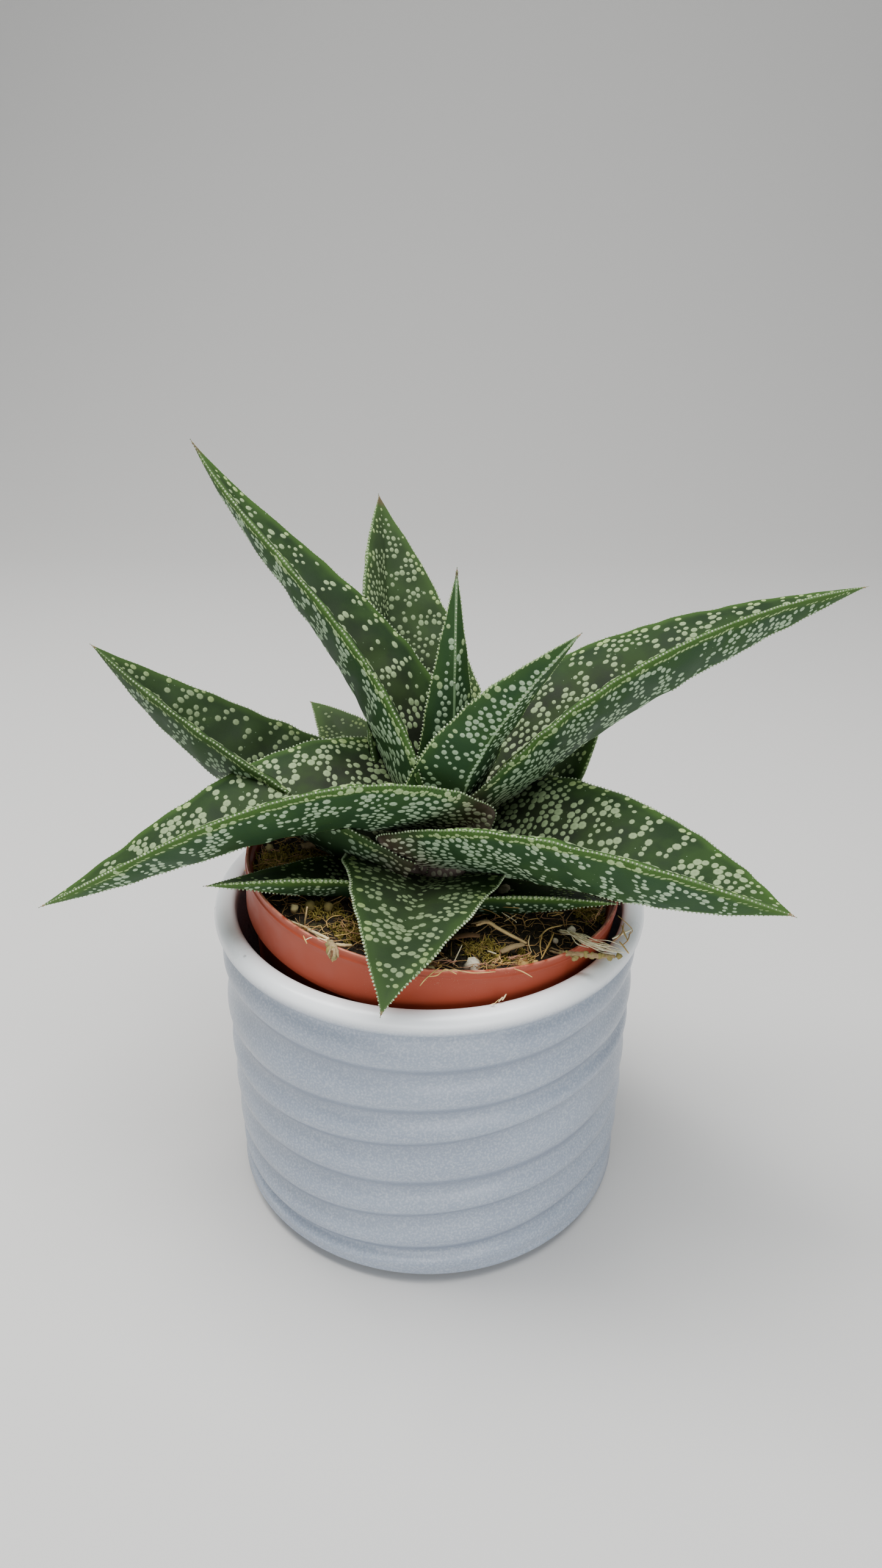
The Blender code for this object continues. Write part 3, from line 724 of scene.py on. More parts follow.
base_share = maths(tree, "ADD", share, times(tree, maths(tree, "SUBTRACT", cloud, 0.5), 0.15))
green = mix(tree, ramp(tree, base_share, 0.13, -0.02, 0.0, 0.85), green, BASE_PURPLE)
green = mix(tree, ramp(tree, base_share, 0.0, -0.06), green, BASE_MAUVE)
print("Nodes for the plain skin:", len(tree.nodes))

# %% Spots, dots and grain in the skin
spot_colour = mix(tree, times(tree, upper, 0.85), SPOT_COOL, SPOT_WARM)
spot_colour = mix(tree, ramp(tree, edge, 4.0, 3.2, 0.0, 0.6), spot_colour, SPOT_ROW)
spot_colour = mix(tree, ramp(tree, share, 0.16, 0.0, 0.0, 0.8), spot_colour, BASE_SPOT)
place = add(tree, "ShaderNodeTexCoord").outputs["Object"]
dots = add(tree, "ShaderNodeTexVoronoi", {"Vector": place, "Scale": 480.0})
dot = times(tree, ramp(tree, dots.outputs["Distance"], 0.11, 0.05), ramp(tree, cloud, 0.48, 0.6))
spot_colour = mix(tree, ramp(tree, spot, 0.5, 1.0, 0.0, 0.22), spot_colour, MARGIN_GREEN)
skin_colour = mix(tree, ramp(tree, spot, 0.04, 0.35, 0.0, 0.93), green, spot_colour)
skin_colour = mix(tree, times(tree, dot, 0.55), skin_colour, SPOT_COOL)
skin_colour = mix(tree, attribute(tree, "haze"), skin_colour, HAZE_GREEN)
skin_colour = mix(tree, ramp(tree, share, 0.985, 0.998), skin_colour, TIP_BROWN)
brown_tip = times(tree, ramp(tree, share, 0.955, 0.985, 0.0, 0.85), attribute(tree, "brown_tip"))
skin_colour = mix(tree, brown_tip, skin_colour, TIP_DARK)
# Painted shade: darkens some whole leaves towards a dark olive.
skin_colour = mix(tree, attribute(tree, "shade"), skin_colour, PAINTED_SHADE_OLIVE)
tree.links.new(skin_colour, shader.inputs["Base Color"])
tree.links.new(ramp(tree, cloud, 0.3, 0.7, 0.5, 0.64), shader.inputs["Roughness"])
grain_height = maths(tree, "ADD", noise_value(tree, 1500, 2), times(tree, dot, 0.6))
add_bump(tree, shader, grain_height, 0.35, 0.00012)
print("Nodes for the whole skin:", len(tree.nodes))

tooth_material, tree, shader = new_material("leaf teeth", roughness=0.5)
tooth_cloud = ramp(tree, noise_value(tree, 700, 2), 0.35, 0.65)
tooth_colour = mix(tree, tooth_cloud, TOOTH_WHITE, LIP_PALE)
tree.links.new(tooth_colour, shader.inputs["Base Color"])
print("Nodes for the teeth:", len(tree.nodes))

# %% [markdown]
# ## Spots and teeth
#
# The spots are low domes about two millimetres across. They stand in groups and in chains across the
# leaf, in a row under each margin, and they are drawn out and crowded near the base. Geometry Nodes
# throw evenly spaced points on the skin, keep those where a stretched noise allows it, add the rows and
# set a small cone on each point. Every point of the cone is then laid back on the skin and lifted by a
# dome's height, so even a spot on the sharp keel follows the leaf.

# %% Trees and fields
def new_tree(name, inputs):
    """A Geometry Nodes tree with named inputs. Returns it with the nodes at its two ends."""
    made = bpy.data.node_groups.new(name, "GeometryNodeTree")
    made.interface.new_socket("Geometry", in_out="INPUT", socket_type="NodeSocketGeometry")
    for label, kind in inputs.items():
        made.interface.new_socket(label, in_out="INPUT", socket_type="NodeSocket" + kind)
    made.interface.new_socket("Geometry", in_out="OUTPUT", socket_type="NodeSocketGeometry")
    made.is_modifier = True
    return made, made.nodes.new("NodeGroupInput").outputs, made.nodes.new("NodeGroupOutput").inputs


def named(tree, name, kind="FLOAT"):
    """The attribute of this name, as a field."""
    made = add(tree, "GeometryNodeInputNamedAttribute", {"Name": name}, data_type=kind)
    return next(output for output in made.outputs if output.enabled and output.name == "Attribute")


def vector_maths(tree, operation, *values):
    """A sum on vectors."""
    made = add(tree, "ShaderNodeVectorMath", dict(enumerate(values)), operation=operation)
    return made.outputs["Vector"]


def scaled(tree, vector, factor):
    """A vector made longer by a factor."""
    inputs = {0: vector, "Scale": factor}
    return add(tree, "ShaderNodeVectorMath", inputs, operation="SCALE").outputs["Vector"]


def mix_vectors(tree, share, one, two):
    """A vector between another node's output and a fixed one."""
    made = tree.nodes.new("ShaderNodeMix")
    made.data_type = "VECTOR"
    tree.links.new(share, made.inputs[0])
    tree.links.new(one, made.inputs[4])
    made.inputs[5].default_value = two
    return made.outputs[1]


def aligned(tree, z_way, x_way):
    """A rotation that turns Z to one direction and X as near as it goes to another."""
    upright = add(tree, "FunctionNodeAlignRotationToVector", {"Vector": z_way}, axis="Z")
    inputs = {"Rotation": upright.outputs[0], "Vector": x_way}
    return add(tree, "FunctionNodeAlignRotationToVector", inputs, axis="X", pivot_axis="Z").outputs[0]


def random_between(tree, low, high, seed):
    """A random number for each point."""
    made = add(tree, "FunctionNodeRandomValue", {"Seed": seed}, data_type="FLOAT")
    for socket in made.inputs:
        if socket.enabled and socket.name in ("Min", "Max"):
            socket.default_value = low if socket.name == "Min" else high
    return next(output for output in made.outputs if output.enabled)


def near_to(tree, value, middle, reach):
    """One where a value is within reach of a middle one, and nothing elsewhere."""
    inputs = {0: value, 1: middle, 2: reach}
    return add(tree, "ShaderNodeMath", inputs, operation="COMPARE").outputs[0]


print("Attributes that a tree can read:", len(leaf_objects["leaf_front"].data.attributes))


# %% Points and pieces in a tree
def moved_to(tree, geometry, **place):
    """Points at a new Position, or moved by an Offset."""
    return add(tree, "GeometryNodeSetPosition", {"Geometry": geometry} | place).outputs[0]


def steps_along(tree, mesh, chosen, pitch):
    """Points in even steps along the chosen points of a mesh."""
    line = add(tree, "GeometryNodeMeshToCurve", {"Mesh": mesh, "Selection": chosen}).outputs[0]
    inputs = {"Curve": line, "Length": pitch}
    return add(tree, "GeometryNodeCurveToPoints", inputs, mode="LENGTH").outputs["Points"]


def made_solid(tree, instances, material):
    """Instances turned into mesh, in one material."""
    made = add(tree, "GeometryNodeRealizeInstances", {0: instances}).outputs[0]
    inputs = {"Geometry": made, "Material": material}
    return add(tree, "GeometryNodeSetMaterial", inputs).outputs[0]


def joined(tree, *parts):
    """Several geometries as one."""
    made = add(tree, "GeometryNodeJoinGeometry")
    for part in parts:
        tree.links.new(part, made.inputs[0])
    return made.outputs[0]


# %% Where the spots may stand
NOISE_LAYER = 7.3
NEAR_STEM = 0.12
LIP_WIDTH = 1.3
ROW_HALF_WIDTH = 0.8
KEEL_HALF_WIDTH = 1.0
ROW_FROM = 0.06
SPOTTED_MIDDLE = 0.31
SPOTTED_REACH = 0.66
CROWD_MORE = 0.22
UNDER_SPARSE = 0.02
BESIDE_ROW = 0.09


def spot_mask(tree, inputs):
    """One where a spot may stand: in groups, closer together towards the base."""
    edge = named(tree, "edge")
    keel = named(tree, "keel")
    share = named(tree, "share")
    under = opposite(tree, named(tree, "upper"))
    across = maths(tree, "DIVIDE", named(tree, "across"), inputs["Group width"])
    along = maths(tree, "DIVIDE", named(tree, "along"), inputs["Group length"])
    layer = maths(tree, "ADD", times(tree, under, NOISE_LAYER), inputs["Seed"])
    place = add(tree, "ShaderNodeCombineXYZ", {"X": across, "Y": along, "Z": layer}).outputs[0]
    cloud = add(tree, "ShaderNodeTexNoise", {"Vector": place, "Scale": 1.0, "Detail": 1.0}).outputs["Fac"]
    crowd = times(tree, ramp(tree, share, inputs["Crowded base"], 0.0), CROWD_MORE)
    crowd = maths(tree, "ADD", crowd, ramp(tree, share, 0.1, 0.0, 0.0, NEAR_STEM))
    beside = ramp(tree, edge, 6.5, 3.0, -UNDER_SPARSE, BESIDE_ROW)
    crowd = maths(tree, "ADD", crowd, times(tree, under, beside))
    crowd = maths(tree, "ADD", crowd, times(tree, under, inputs["Under crowd"]))
    groups = maths(tree, "GREATER_THAN", maths(tree, "ADD", cloud, crowd), inputs["Group edge"])
    clear_of_lip = maths(tree, "GREATER_THAN", edge, LIP_WIDTH)
    row = near_to(tree, edge, ROW_GAP, ROW_HALF_WIDTH)
    row = times(tree, row, maths(tree, "GREATER_THAN", share, ROW_FROM))
    clear_of_row = opposite(tree, times(tree, row, under))
    clear_of_keel = maths(tree, "GREATER_THAN", keel, KEEL_HALF_WIDTH)
    alive = near_to(tree, share, SPOTTED_MIDDLE, SPOTTED_REACH)
    mask = times(tree, groups, times(tree, clear_of_lip, clear_of_row))
    return times(tree, mask, times(tree, clear_of_keel, alive))


# %% Habit of the spots
SPOT_HABIT = {
    "Spacing": 2.15 * MM,
    "Spot radius": 1.2 * MM,
    "Spot height": 0.22 * MM,
    "Group width": 10.0,
    "Group length": 4.2,
    "Group edge": 0.51,
    "Crowded base": 0.25,
    "Row pitch": 1.65 * MM,
    "Row shift": 0.18,
    "Keel row": 0.0,
    "Stretch": 0.0,
    "Widening": 0.0,
    "Under crowd": 0.0,
}
SPOT_INPUTS = dict.fromkeys(SPOT_HABIT, "Float") | {"Seed": "Int", "Skin": "Material"}
MOST_SPOTS = 4.0 / MM ** 2
SPOT_SIDES = 8
SPOT_SUNK = 0.12
CROWD_MOST = 1.35
ROW_SPOT = (0.72, 0.95, 0.0)
UNDER_LONG = 0.9
UNDER_WIDE = 1.2
print("Values that set the spots:", len(SPOT_INPUTS))


# %% Spots
def spot_tree():
    """A tree that adds the spots to a leaf's skin."""
    tree, inputs, out = new_tree("leaf spots", SPOT_INPUTS)
    leaf = inputs["Geometry"]
    throw = {"Mesh": leaf, "Distance Min": inputs["Spacing"], "Density Max": MOST_SPOTS}
    throw |= {"Density Factor": spot_mask(tree, inputs), "Seed": inputs["Seed"]}
    points = add(tree, "GeometryNodeDistributePointsOnFaces", throw, distribute_method="POISSON")
    shape = {"Vertices": SPOT_SIDES, "Side Segments": 2}
    shape |= {"Radius Top": 0.0, "Radius Bottom": 1.0, "Depth": 1.0}
    cone = add(tree, "GeometryNodeMeshCone", shape, fill_type="NGON").outputs["Mesh"]
    here = add(tree, "GeometryNodeInputPosition").outputs[0]
    rise = add(tree, "ShaderNodeSeparateXYZ", {0: here}).outputs["Z"]
    store = {"Geometry": cone, "Name": "spot", "Value": rise}
    cone = add(tree, "GeometryNodeStoreNamedAttribute", store, data_type="FLOAT").outputs[0]
    places = joined(tree, points.outputs["Points"], margin_rows(tree, leaf, inputs))
    size = times(tree, inputs["Spot radius"], random_between(tree, 0.6, 1.15, 3))
    size = times(tree, size, ramp(tree, named(tree, "share"), 1.0, 0.8, 0.55, 1.0))
    long = ramp(tree, named(tree, "share"), 0.02, 0.3, CROWD_MOST, 1.0)
    long = times(tree, long, random_between(tree, 0.9, 1.35, 4))
    narrow = ramp(tree, named(tree, "share"), 0.02, 0.25, 0.72, 0.95)
    upper = named(tree, "upper")
    under = opposite(tree, upper)
    long = times(tree, long, ramp(tree, upper, 0.0, 1.0, UNDER_LONG, 1.0))
    stretch = times(tree, inputs["Stretch"], under)
    long = times(tree, long, maths(tree, "ADD", 1.0, stretch))
    narrow = times(tree, narrow, ramp(tree, upper, 0.0, 1.0, UNDER_WIDE, 1.0))
    wider = times(tree, inputs["Widening"], upper)
    narrow = times(tree, narrow, maths(tree, "ADD", 1.0, wider))
    shape = add(tree, "ShaderNodeCombineXYZ", {"X": long, "Y": narrow}).outputs[0]
    shape = mix_vectors(tree, named(tree, "in_row"), shape, ROW_SPOT)
    scale = scaled(tree, shape, size)
    turn = aligned(tree, named(tree, "outward", "FLOAT_VECTOR"), named(tree, "grain", "FLOAT_VECTOR"))
    place = {"Points": places, "Instance": cone, "Rotation": turn, "Scale": scale}
    spots = add(tree, "GeometryNodeInstanceOnPoints", place).outputs[0]
    spots = add(tree, "GeometryNodeRealizeInstances", {0: spots}).outputs[0]
    spots = lay_on_skin(tree, spots, leaf, inputs["Spot height"])
    paint = {"Geometry": spots, "Material": inputs["Skin"]}
    spots = add(tree, "GeometryNodeSetMaterial", paint).outputs[0]
    tree.links.new(joined(tree, spots, leaf), out[0])
    return tree


# %% Rows of spots, and their domes
MARKED = 0.99
ROW_MISSING = 0.14


def margin_rows(tree, leaf, inputs):
    """Points in a row under each margin, and along the keel where the leaf has a keel row."""
    on_margin = maths(tree, "GREATER_THAN", named(tree, "crest"), MARKED)
    on_keel = times(tree, named(tree, "keel_line"), inputs["Keel row"])
    on_keel = maths(tree, "GREATER_THAN", on_keel, MARKED)
    on_line = times(tree, maths(tree, "MAXIMUM", on_margin, on_keel), named(tree, "kept"))
    on_line = times(tree, on_line, near_to(tree, named(tree, "share"), 0.5, 0.45))
    points = steps_along(tree, leaf, on_line, inputs["Row pitch"])
    shift = times(tree, random_between(tree, 0.8, 1.2, 6), inputs["Row shift"])
    shift = scaled(tree, named(tree, "row", "FLOAT_VECTOR"), shift)
    missing = maths(tree, "LESS_THAN", random_between(tree, 0.0, 1.0, 7), ROW_MISSING)
    thin = {"Geometry": moved_to(tree, points, Offset=shift), "Selection": missing}
    thin = add(tree, "GeometryNodeDeleteGeometry", thin, domain="POINT").outputs[0]
    store = {"Geometry": thin, "Name": "in_row", "Value": 1.0}
    return add(tree, "GeometryNodeStoreNamedAttribute", store, data_type="FLOAT").outputs[0]


def lay_on_skin(tree, spots, leaf, height):
    """Moves every point of the spots to the nearest skin, and lifts it into a dome."""
    here = add(tree, "GeometryNodeInputPosition").outputs[0]
    near = add(tree, "GeometryNodeProximity", {0: leaf, "Sample Position": here}).outputs["Position"]
    normal = add(tree, "GeometryNodeInputNormal").outputs[0]
    sample = {"Mesh": leaf, "Value": normal, "Sample Position": here}
    outward = add(tree, "GeometryNodeSampleNearestSurface", sample, data_type="FLOAT_VECTOR").outputs["Value"]
    outward = vector_maths(tree, "NORMALIZE", outward)
    hollow = opposite(tree, named(tree, "spot"))
    dome = maths(tree, "SUBTRACT", 1.0 - SPOT_SUNK, times(tree, hollow, hollow))
    lift = scaled(tree, outward, times(tree, dome, height))
    return moved_to(tree, spots, Position=vector_maths(tree, "ADD", near, lift))


spotting = spot_tree()
print("Nodes that make the spots:", len(spotting.nodes))

# %% [markdown]
# Both margins and the outer half of the keel carry a close row of blunt white teeth. The margin's points
# are marked, so a tree can turn that line into a curve, walk along it in even steps and set a tooth at
# each, leaning a little towards the tip.

# %% Teeth
TOOTH_INPUTS = {"Pitch": "Float", "Tooth size": "Float", "Seed": "Int", "Teeth": "Material"}
TOOTH_LEAN = 0.35
TOOTH_HEIGHT = 1.45
KEEL_TEETH_FROM = 0.55


def tooth_tree():
    """A tree that adds the teeth to a leaf's margins and keel."""
    tree, inputs, out = new_tree("leaf teeth", TOOTH_INPUTS)
    leaf = inputs["Geometry"]
    on_margin = maths(tree, "GREATER_THAN", named(tree, "crest"), MARKED)
    on_keel = maths(tree, "GREATER_THAN", named(tree, "keel_line"), MARKED)
    outer_half = maths(tree, "GREATER_THAN", named(tree, "share"), KEEL_TEETH_FROM)
    on_keel = times(tree, on_keel, outer_half)
    on_line = times(tree, maths(tree, "MAXIMUM", on_margin, on_keel), named(tree, "kept"))
    on_line = times(tree, on_line, maths(tree, "LESS_THAN", named(tree, "in_row"), 0.5))
    points = steps_along(tree, leaf, on_line, inputs["Pitch"])
    grain = named(tree, "grain", "FLOAT_VECTOR")
    lean = scaled(tree, grain, TOOTH_LEAN)
    outward = vector_maths(tree, "ADD", named(tree, "outward", "FLOAT_VECTOR"), lean)
    bead = add(tree, "GeometryNodeMeshIcoSphere", {"Radius": 1.0, "Subdivisions": 1}).outputs["Mesh"]
    bead = add(tree, "GeometryNodeSetShadeSmooth", {"Geometry": bead}).outputs[0]
    fade = ramp(tree, named(tree, "share"), 1.0, 0.85, 0.5, 1.0)
    size = times(tree, inputs["Tooth size"], fade)
    size = times(tree, size, random_between(tree, 0.45, 1.35, 5))
    tall = times(tree, size, TOOTH_HEIGHT)
    scale = add(tree, "ShaderNodeCombineXYZ", {"X": size, "Y": size, "Z": tall}).outputs[0]
    place = {"Points": points, "Instance": bead, "Rotation": aligned(tree, outward, grain), "Scale": scale}
    teeth = add(tree, "GeometryNodeInstanceOnPoints", place).outputs[0]
    teeth = made_solid(tree, teeth, inputs["Teeth"])
    tree.links.new(joined(tree, teeth, leaf), out[0])
    return tree


toothing = tooth_tree()
print("Nodes that make the teeth:", len(toothing.nodes))


# %% What each leaf does its own way
OWN_HABITS = {
    "leaf_centre_upright": {"Group edge": 0.34, "Stretch": 0.35},
    "leaf_centre_right": {"Group edge": 0.43, "Keel row": 1.0},
    "leaf_upper_left": {"Group edge": 0.53, "Row shift": 1.0, "Stretch": 0.3, "Under crowd": 0.07},
    "leaf_long_right": {"Group edge": 0.49, "Crowded base": 0.35, "Row shift": 1.0},
    "leaf_back": {"Group edge": 0.46, "Widening": 0.2},
    "leaf_low_left": {"Crowded base": 0.35, "Row shift": 1.0, "Widening": 0.3},
    "leaf_low_right": {"Group edge": 0.5, "Crowded base": 0.5, "Row shift": 1.0, "Widening": 0.35},
    "leaf_left": {"Row shift": 1.0, "Keel row": 1.0, "Widening": 0.2},
    "leaf_front": {"Group edge": 0.49, "Crowded base": 0.3, "Widening": 0.35},
    "leaf_small_left": {"Group edge": 0.48},
}
FINE_SPOTS = {
    "leaf_bud": 0.7,
    "leaf_centre_upright": 0.8,
    "leaf_centre_right": 0.84,
    "leaf_back": 0.8,
    "leaf_low_right": 1.05,
    "leaf_back_left": 0.7,
    "leaf_front": 0.9,
    "leaf_small_left": 0.75,
    "leaf_small_right": 0.75,
}
TOOTH_HABIT = {"Pitch": 1.25 * MM, "Tooth size": 0.37 * MM, "Seed": 5, "Teeth": tooth_material}
OWN_TEETH = {"leaf_front": {"Tooth size": 0.4 * MM}}
print("Leaves with spots of their own kind:", len(set(OWN_HABITS) | set(FINE_SPOTS)))


# %% Use the trees
def grow_on(obj, tree, values):
    """Runs a tree on an object. Its inputs are found by label and set by identifier."""
    modifier = obj.modifiers.new(tree.name, "NODES")
    modifier.node_group = tree
    for item in tree.interface.items_tree:
        if item.in_out == "INPUT" and item.name in values:
            modifier[item.identifier] = values[item.name]


spot_count = 0
for number, (name, made) in enumerate(leaf_objects.items()):
    made.data.shade_smooth()
    made.data.materials.clear()
    made.data.materials.append(leaf_material)
    plain = len(made.data.polygons)
    habit = SPOT_HABIT | OWN_HABITS.get(name, {}) | {"Seed": 11 + 7 * number, "Skin": leaf_material}
    habit["Spot radius"] *= FINE_SPOTS.get(name, 1.0)
    habit["Spacing"] *= FINE_SPOTS.get(name, 1.0) ** 0.5
    grow_on(made, spotting, habit)
    grow_on(made, toothing, TOOTH_HABIT | OWN_TEETH.get(name, {}))
    settle(made)
    spot_count += len(made.data.polygons) - plain
print("Faces in spots and teeth:", spot_count)

# %% Join the leaves to the frame
for name, made in leaf_objects.items():
    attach(made, "root")
    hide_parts(name)
print("Leaves in the frame:", len(leaf_objects))

# %% [markdown]
# ## The glazed pot
#
# The outer pot was turned on a wheel and its wall was drawn in with a rib, so soft ripples run round it,
# closer on one side than on the other. A turned mesh with many columns carries them better than a
# Bevel or a displacement picture: the wall's height is bent by a wave round the pot, and its radius
# falls in at each groove.

# %% Pot sizes
POT_HEIGHT = 111
POT_RIM_RADIUS = 72
POT_OPENING_RADIUS = 64.7
POT_LIP_DEPTH = 7.5
POT_FOOT_RADIUS = 62
POT_FOOT_ROUNDING = 5
POT_FLOOR = 6
WALL_LOW_RADIUS = 68.4
WALL_HIGH_RADIUS = 70.6
GROOVE_HEIGHTS = (13.7, 26.9, 40.9, 58.5, 70.1, 87.6)
GROOVE_TILTS = (3.5, 5.5, 5, 6, 5, 2.5)
GROOVE_HIGH_SIDE = math.radians(-10)
GROOVE_WAVE = 0.9
GROOVE_DEPTH = 2.4
RIPPLE_CREST = 0.38
POT_COLUMNS = 208
KNOTS = (POT_FOOT_ROUNDING, *GROOVE_HEIGHTS, POT_HEIGHT - POT_LIP_DEPTH)
RIPPLE_POWER = 1.2
SHADE_ABOVE = 0.1
SHADE_ABOVE_REACH = 0.13
SHADE_BELOW_REACH = 0.07
WALL_WOBBLES = (0.22, 0.12)
print("Grooves round the pot:", len(GROOVE_HEIGHTS))


# %% Turned skins
def arc(centre, radius, start, end, count):
    """Points of an arc. The angles are in degrees."""
    angles = np.radians(np.linspace(start, end, count))
    return [(centre[0] + radius * math.cos(a), centre[1] + radius * math.sin(a)) for a in angles]


def wall_radius(height):
    """Outer radius of the plain wall, before the ripples."""
    return WALL_LOW_RADIUS + (WALL_HIGH_RADIUS - WALL_LOW_RADIUS) * height / POT_HEIGHT


def turned(name, profile, columns):
    """A closed skin turned from a profile that starts and ends on the axis. Gives points in millimetres."""
    angles = np.arange(columns) * 2 * math.pi / columns
    points = [(0, 0, profile[0][1])]
    for radius, height in profile[1:-1]:
        points += [(radius * math.cos(a), radius * math.sin(a), height) for a in angles]
    points.append((0, 0, profile[-1][1]))
    rings = len(profile) - 2
    faces = [(0, 1 + j, 1 + (j + 1) % columns) for j in range(columns)]
    for i in range(rings - 1):
        low = 1 + i * columns
        for j in range(columns):
            k = (j + 1) % columns
            faces.append((low + j, low + columns + j, low + columns + k, low + k))
    last = 1 + (rings - 1) * columns
    end = len(points) - 1
    faces += [(last + j, end, last + (j + 1) % columns) for j in range(columns)]
    mesh = bpy.data.meshes.new(name)
    mesh.from_pydata([(0, 0, 0)] * len(points), [], faces)
    return mesh, np.array(points, float)


def set_points(mesh, points):
    """Writes points in millimetres to a mesh, and turns its faces outwards."""
    mesh.vertices.foreach_set("co", (points * MM).astype(np.float32).ravel())
    mesh.update()
    shape = bmesh.new()
    shape.from_mesh(mesh)
    bmesh.ops.recalc_face_normals(shape, faces=shape.faces)
    shape.to_mesh(mesh)
    shape.free()
    mesh.shade_smooth()


print("Wall radius from foot to lip, mm:", wall_radius(0), "to", wall_radius(POT_HEIGHT))


# %% Pot profile
def ripple_profile(steps):
    """The outer wall from under the lip down to the foot, sunk in at each groove."""
    points = []
    for low, high in zip(KNOTS[:-1], KNOTS[1:]):
        for share in np.linspace(0, 1, steps, endpoint=False):
            height = low + (high - low) * share
            turn = np.interp(share, (0, RIPPLE_CREST, 1), (0, math.pi, 2 * math.pi))
            depth = GROOVE_DEPTH * (0.5 + 0.5 * math.cos(turn)) ** RIPPLE_POWER
            if low == KNOTS[0]:
                depth *= share
            points.append((wall_radius(height) - depth, height))
    return points[::-1]


def groove_shade_share(height):
    """How much soft painted shade a height gets next to the grooves and under the lip, from 0 to 1."""
    share = 0.0
    for low, high in zip(KNOTS[:-1], KNOTS[1:]):
        if low <= height < high and low > KNOTS[0]:
            share = math.exp(-(((height - low) / (high - low) - SHADE_ABOVE) / SHADE_ABOVE_REACH) ** 2)
        if low <= height < high:
            share = max(share, math.exp(-((high - height) / (high - low) / SHADE_BELOW_REACH) ** 2))
    return share


LIP_SQUARENESS = 0.72
WALL_STEPS = 12
lip = (POT_RIM_RADIUS - POT_OPENING_RADIUS) / 2
lip_centre = (POT_OPENING_RADIUS + lip, POT_HEIGHT - lip)
pot_profile = [(0, POT_FLOOR), (20, POT_FLOOR), (40, POT_FLOOR)]
pot_profile += arc((52, 12), 6, -90, 0, 6)
pot_profile += [(58 + 4.7 * t, 12 + 49 * t) for t in (0.2, 0.4, 0.6, 0.8, 1.0)]
pot_profile += [(62.7 + 1.9 * t, 61 + 44 * t) for t in (0.25, 0.5, 0.75)]
for angle in np.radians(np.linspace(180, 0, 24)):
    out, rise = math.cos(angle), math.sin(angle)
    square = LIP_SQUARENESS if out < 0 else 1
    x = lip_centre[0] + lip * math.copysign(abs(out) ** square, out)
    pot_profile.append((x, lip_centre[1] + lip * rise ** square))
pot_profile += [(POT_RIM_RADIUS - 0.1 * t * t, lip_centre[1] - 0.9 * t) for t in (1, 2, 3)]
pot_profile += ripple_profile(WALL_STEPS)
pot_profile += [(wall_radius(0) - 0.9, 3.4), (wall_radius(0) - 2.4, 1.9), (wall_radius(0) - 4.4, 0.8)]
pot_profile += [(POT_FOOT_RADIUS + 0.6, 0.15), (POT_FOOT_RADIUS - 0.6, 0)]
pot_profile += [(57.5, 0), (56.5, 0.5), (55.5, 1.0)]
pot_profile += [(40, 1.0), (20, 1.0), (0, 1.0)]
pot_mesh, pot_points = turned("glazed pot", pot_profile, POT_COLUMNS)
print("Pot profile:", len(pot_profile), "points,", len(pot_mesh.polygons), "faces")

# %% Ripples round the wall
radius = np.hypot(pot_points[:, 0], pot_points[:, 1])
angle = np.arctan2(pot_points[:, 1], pot_points[:, 0])
lifts = [np.zeros(len(pot_points))]
for i, tilt in enumerate(GROOVE_TILTS):
    lifts.append(tilt * np.cos(angle - GROOVE_HIGH_SIDE) + GROOVE_WAVE * np.cos(2 * angle + 2.4 * i))
lifts.append(np.zeros(len(pot_points)))
lifts = np.stack(lifts, axis=1)
lift = np.array([np.interp(z, KNOTS, row) for z, row in zip(pot_points[:, 2], lifts)])
outside = radius > POT_OPENING_RADIUS + 1
# Painted shade next to each groove, kept to the outer wall.
groove_shades = np.array([groove_shade_share(z) for z in pot_points[:, 2]]) * outside
write_attribute(pot_mesh, "groove_shade", groove_shades)
pot_points[outside, 2] += lift[outside]
wobble = WALL_WOBBLES[0] * np.sin(3 * angle + pot_points[:, 2] / 17)
wobble += WALL_WOBBLES[1] * np.sin(7 * angle - pot_points[:, 2] / 9)
on_wall = outside & (pot_points[:, 2] > 6) & (pot_points[:, 2] < 102)
for axis in (0, 1):
    pot_points[on_wall, axis] *= 1 + wobble[on_wall] / radius[on_wall]
set_points(pot_mesh, pot_points)
print("Wall radius, mm:", round(radius[on_wall].min(), 1), "to", round(radius[on_wall].max(), 1))

# %% [markdown]
# The glaze is a pale blue grey, satin, with a fine grain and a few dark specks of iron. A painted
# highlight makes the lip nearly white, and a painted shade darkens the wall next to each groove. The
# bare clay shows only on the foot ring.

# %% Glaze
GLAZE_BLUE = srgb(149, 160, 176)
# A pale glaze colour, used for the fine grain and for the painted highlight on the lip.
GLAZE_PALE_AND_LIP_HIGHLIGHT = srgb(250, 253, 254)
GLAZE_SHADE = srgb(131, 142, 159)
# The colour of the painted shade next to the grooves.
GLAZE_PAINTED_SHADE = srgb(110, 120, 138)
CLAY = srgb(196, 180, 160)
SPECK_DARK = srgb(62, 58, 56)

coat = {"Coat_Weight": 0.25, "Coat_Roughness": 0.15}
glaze_material, tree, shader = new_material("blue grey glaze", roughness=0.3, **coat)
place = add(tree, "ShaderNodeTexCoord").outputs["Object"]
height = add(tree, "ShaderNodeSeparateXYZ", {0: place}).outputs["Z"]
pool = noise_value(tree, 28, 4)
glaze = mix(tree, ramp(tree, pool, 0.35, 0.65, 0.0, 0.35), GLAZE_BLUE, GLAZE_SHADE)
glaze = mix(tree, ramp(tree, noise_value(tree, 1400, 3), 0.4, 0.75, 0.0, 0.22), glaze, GLAZE_PALE_AND_LIP_HIGHLIGHT)
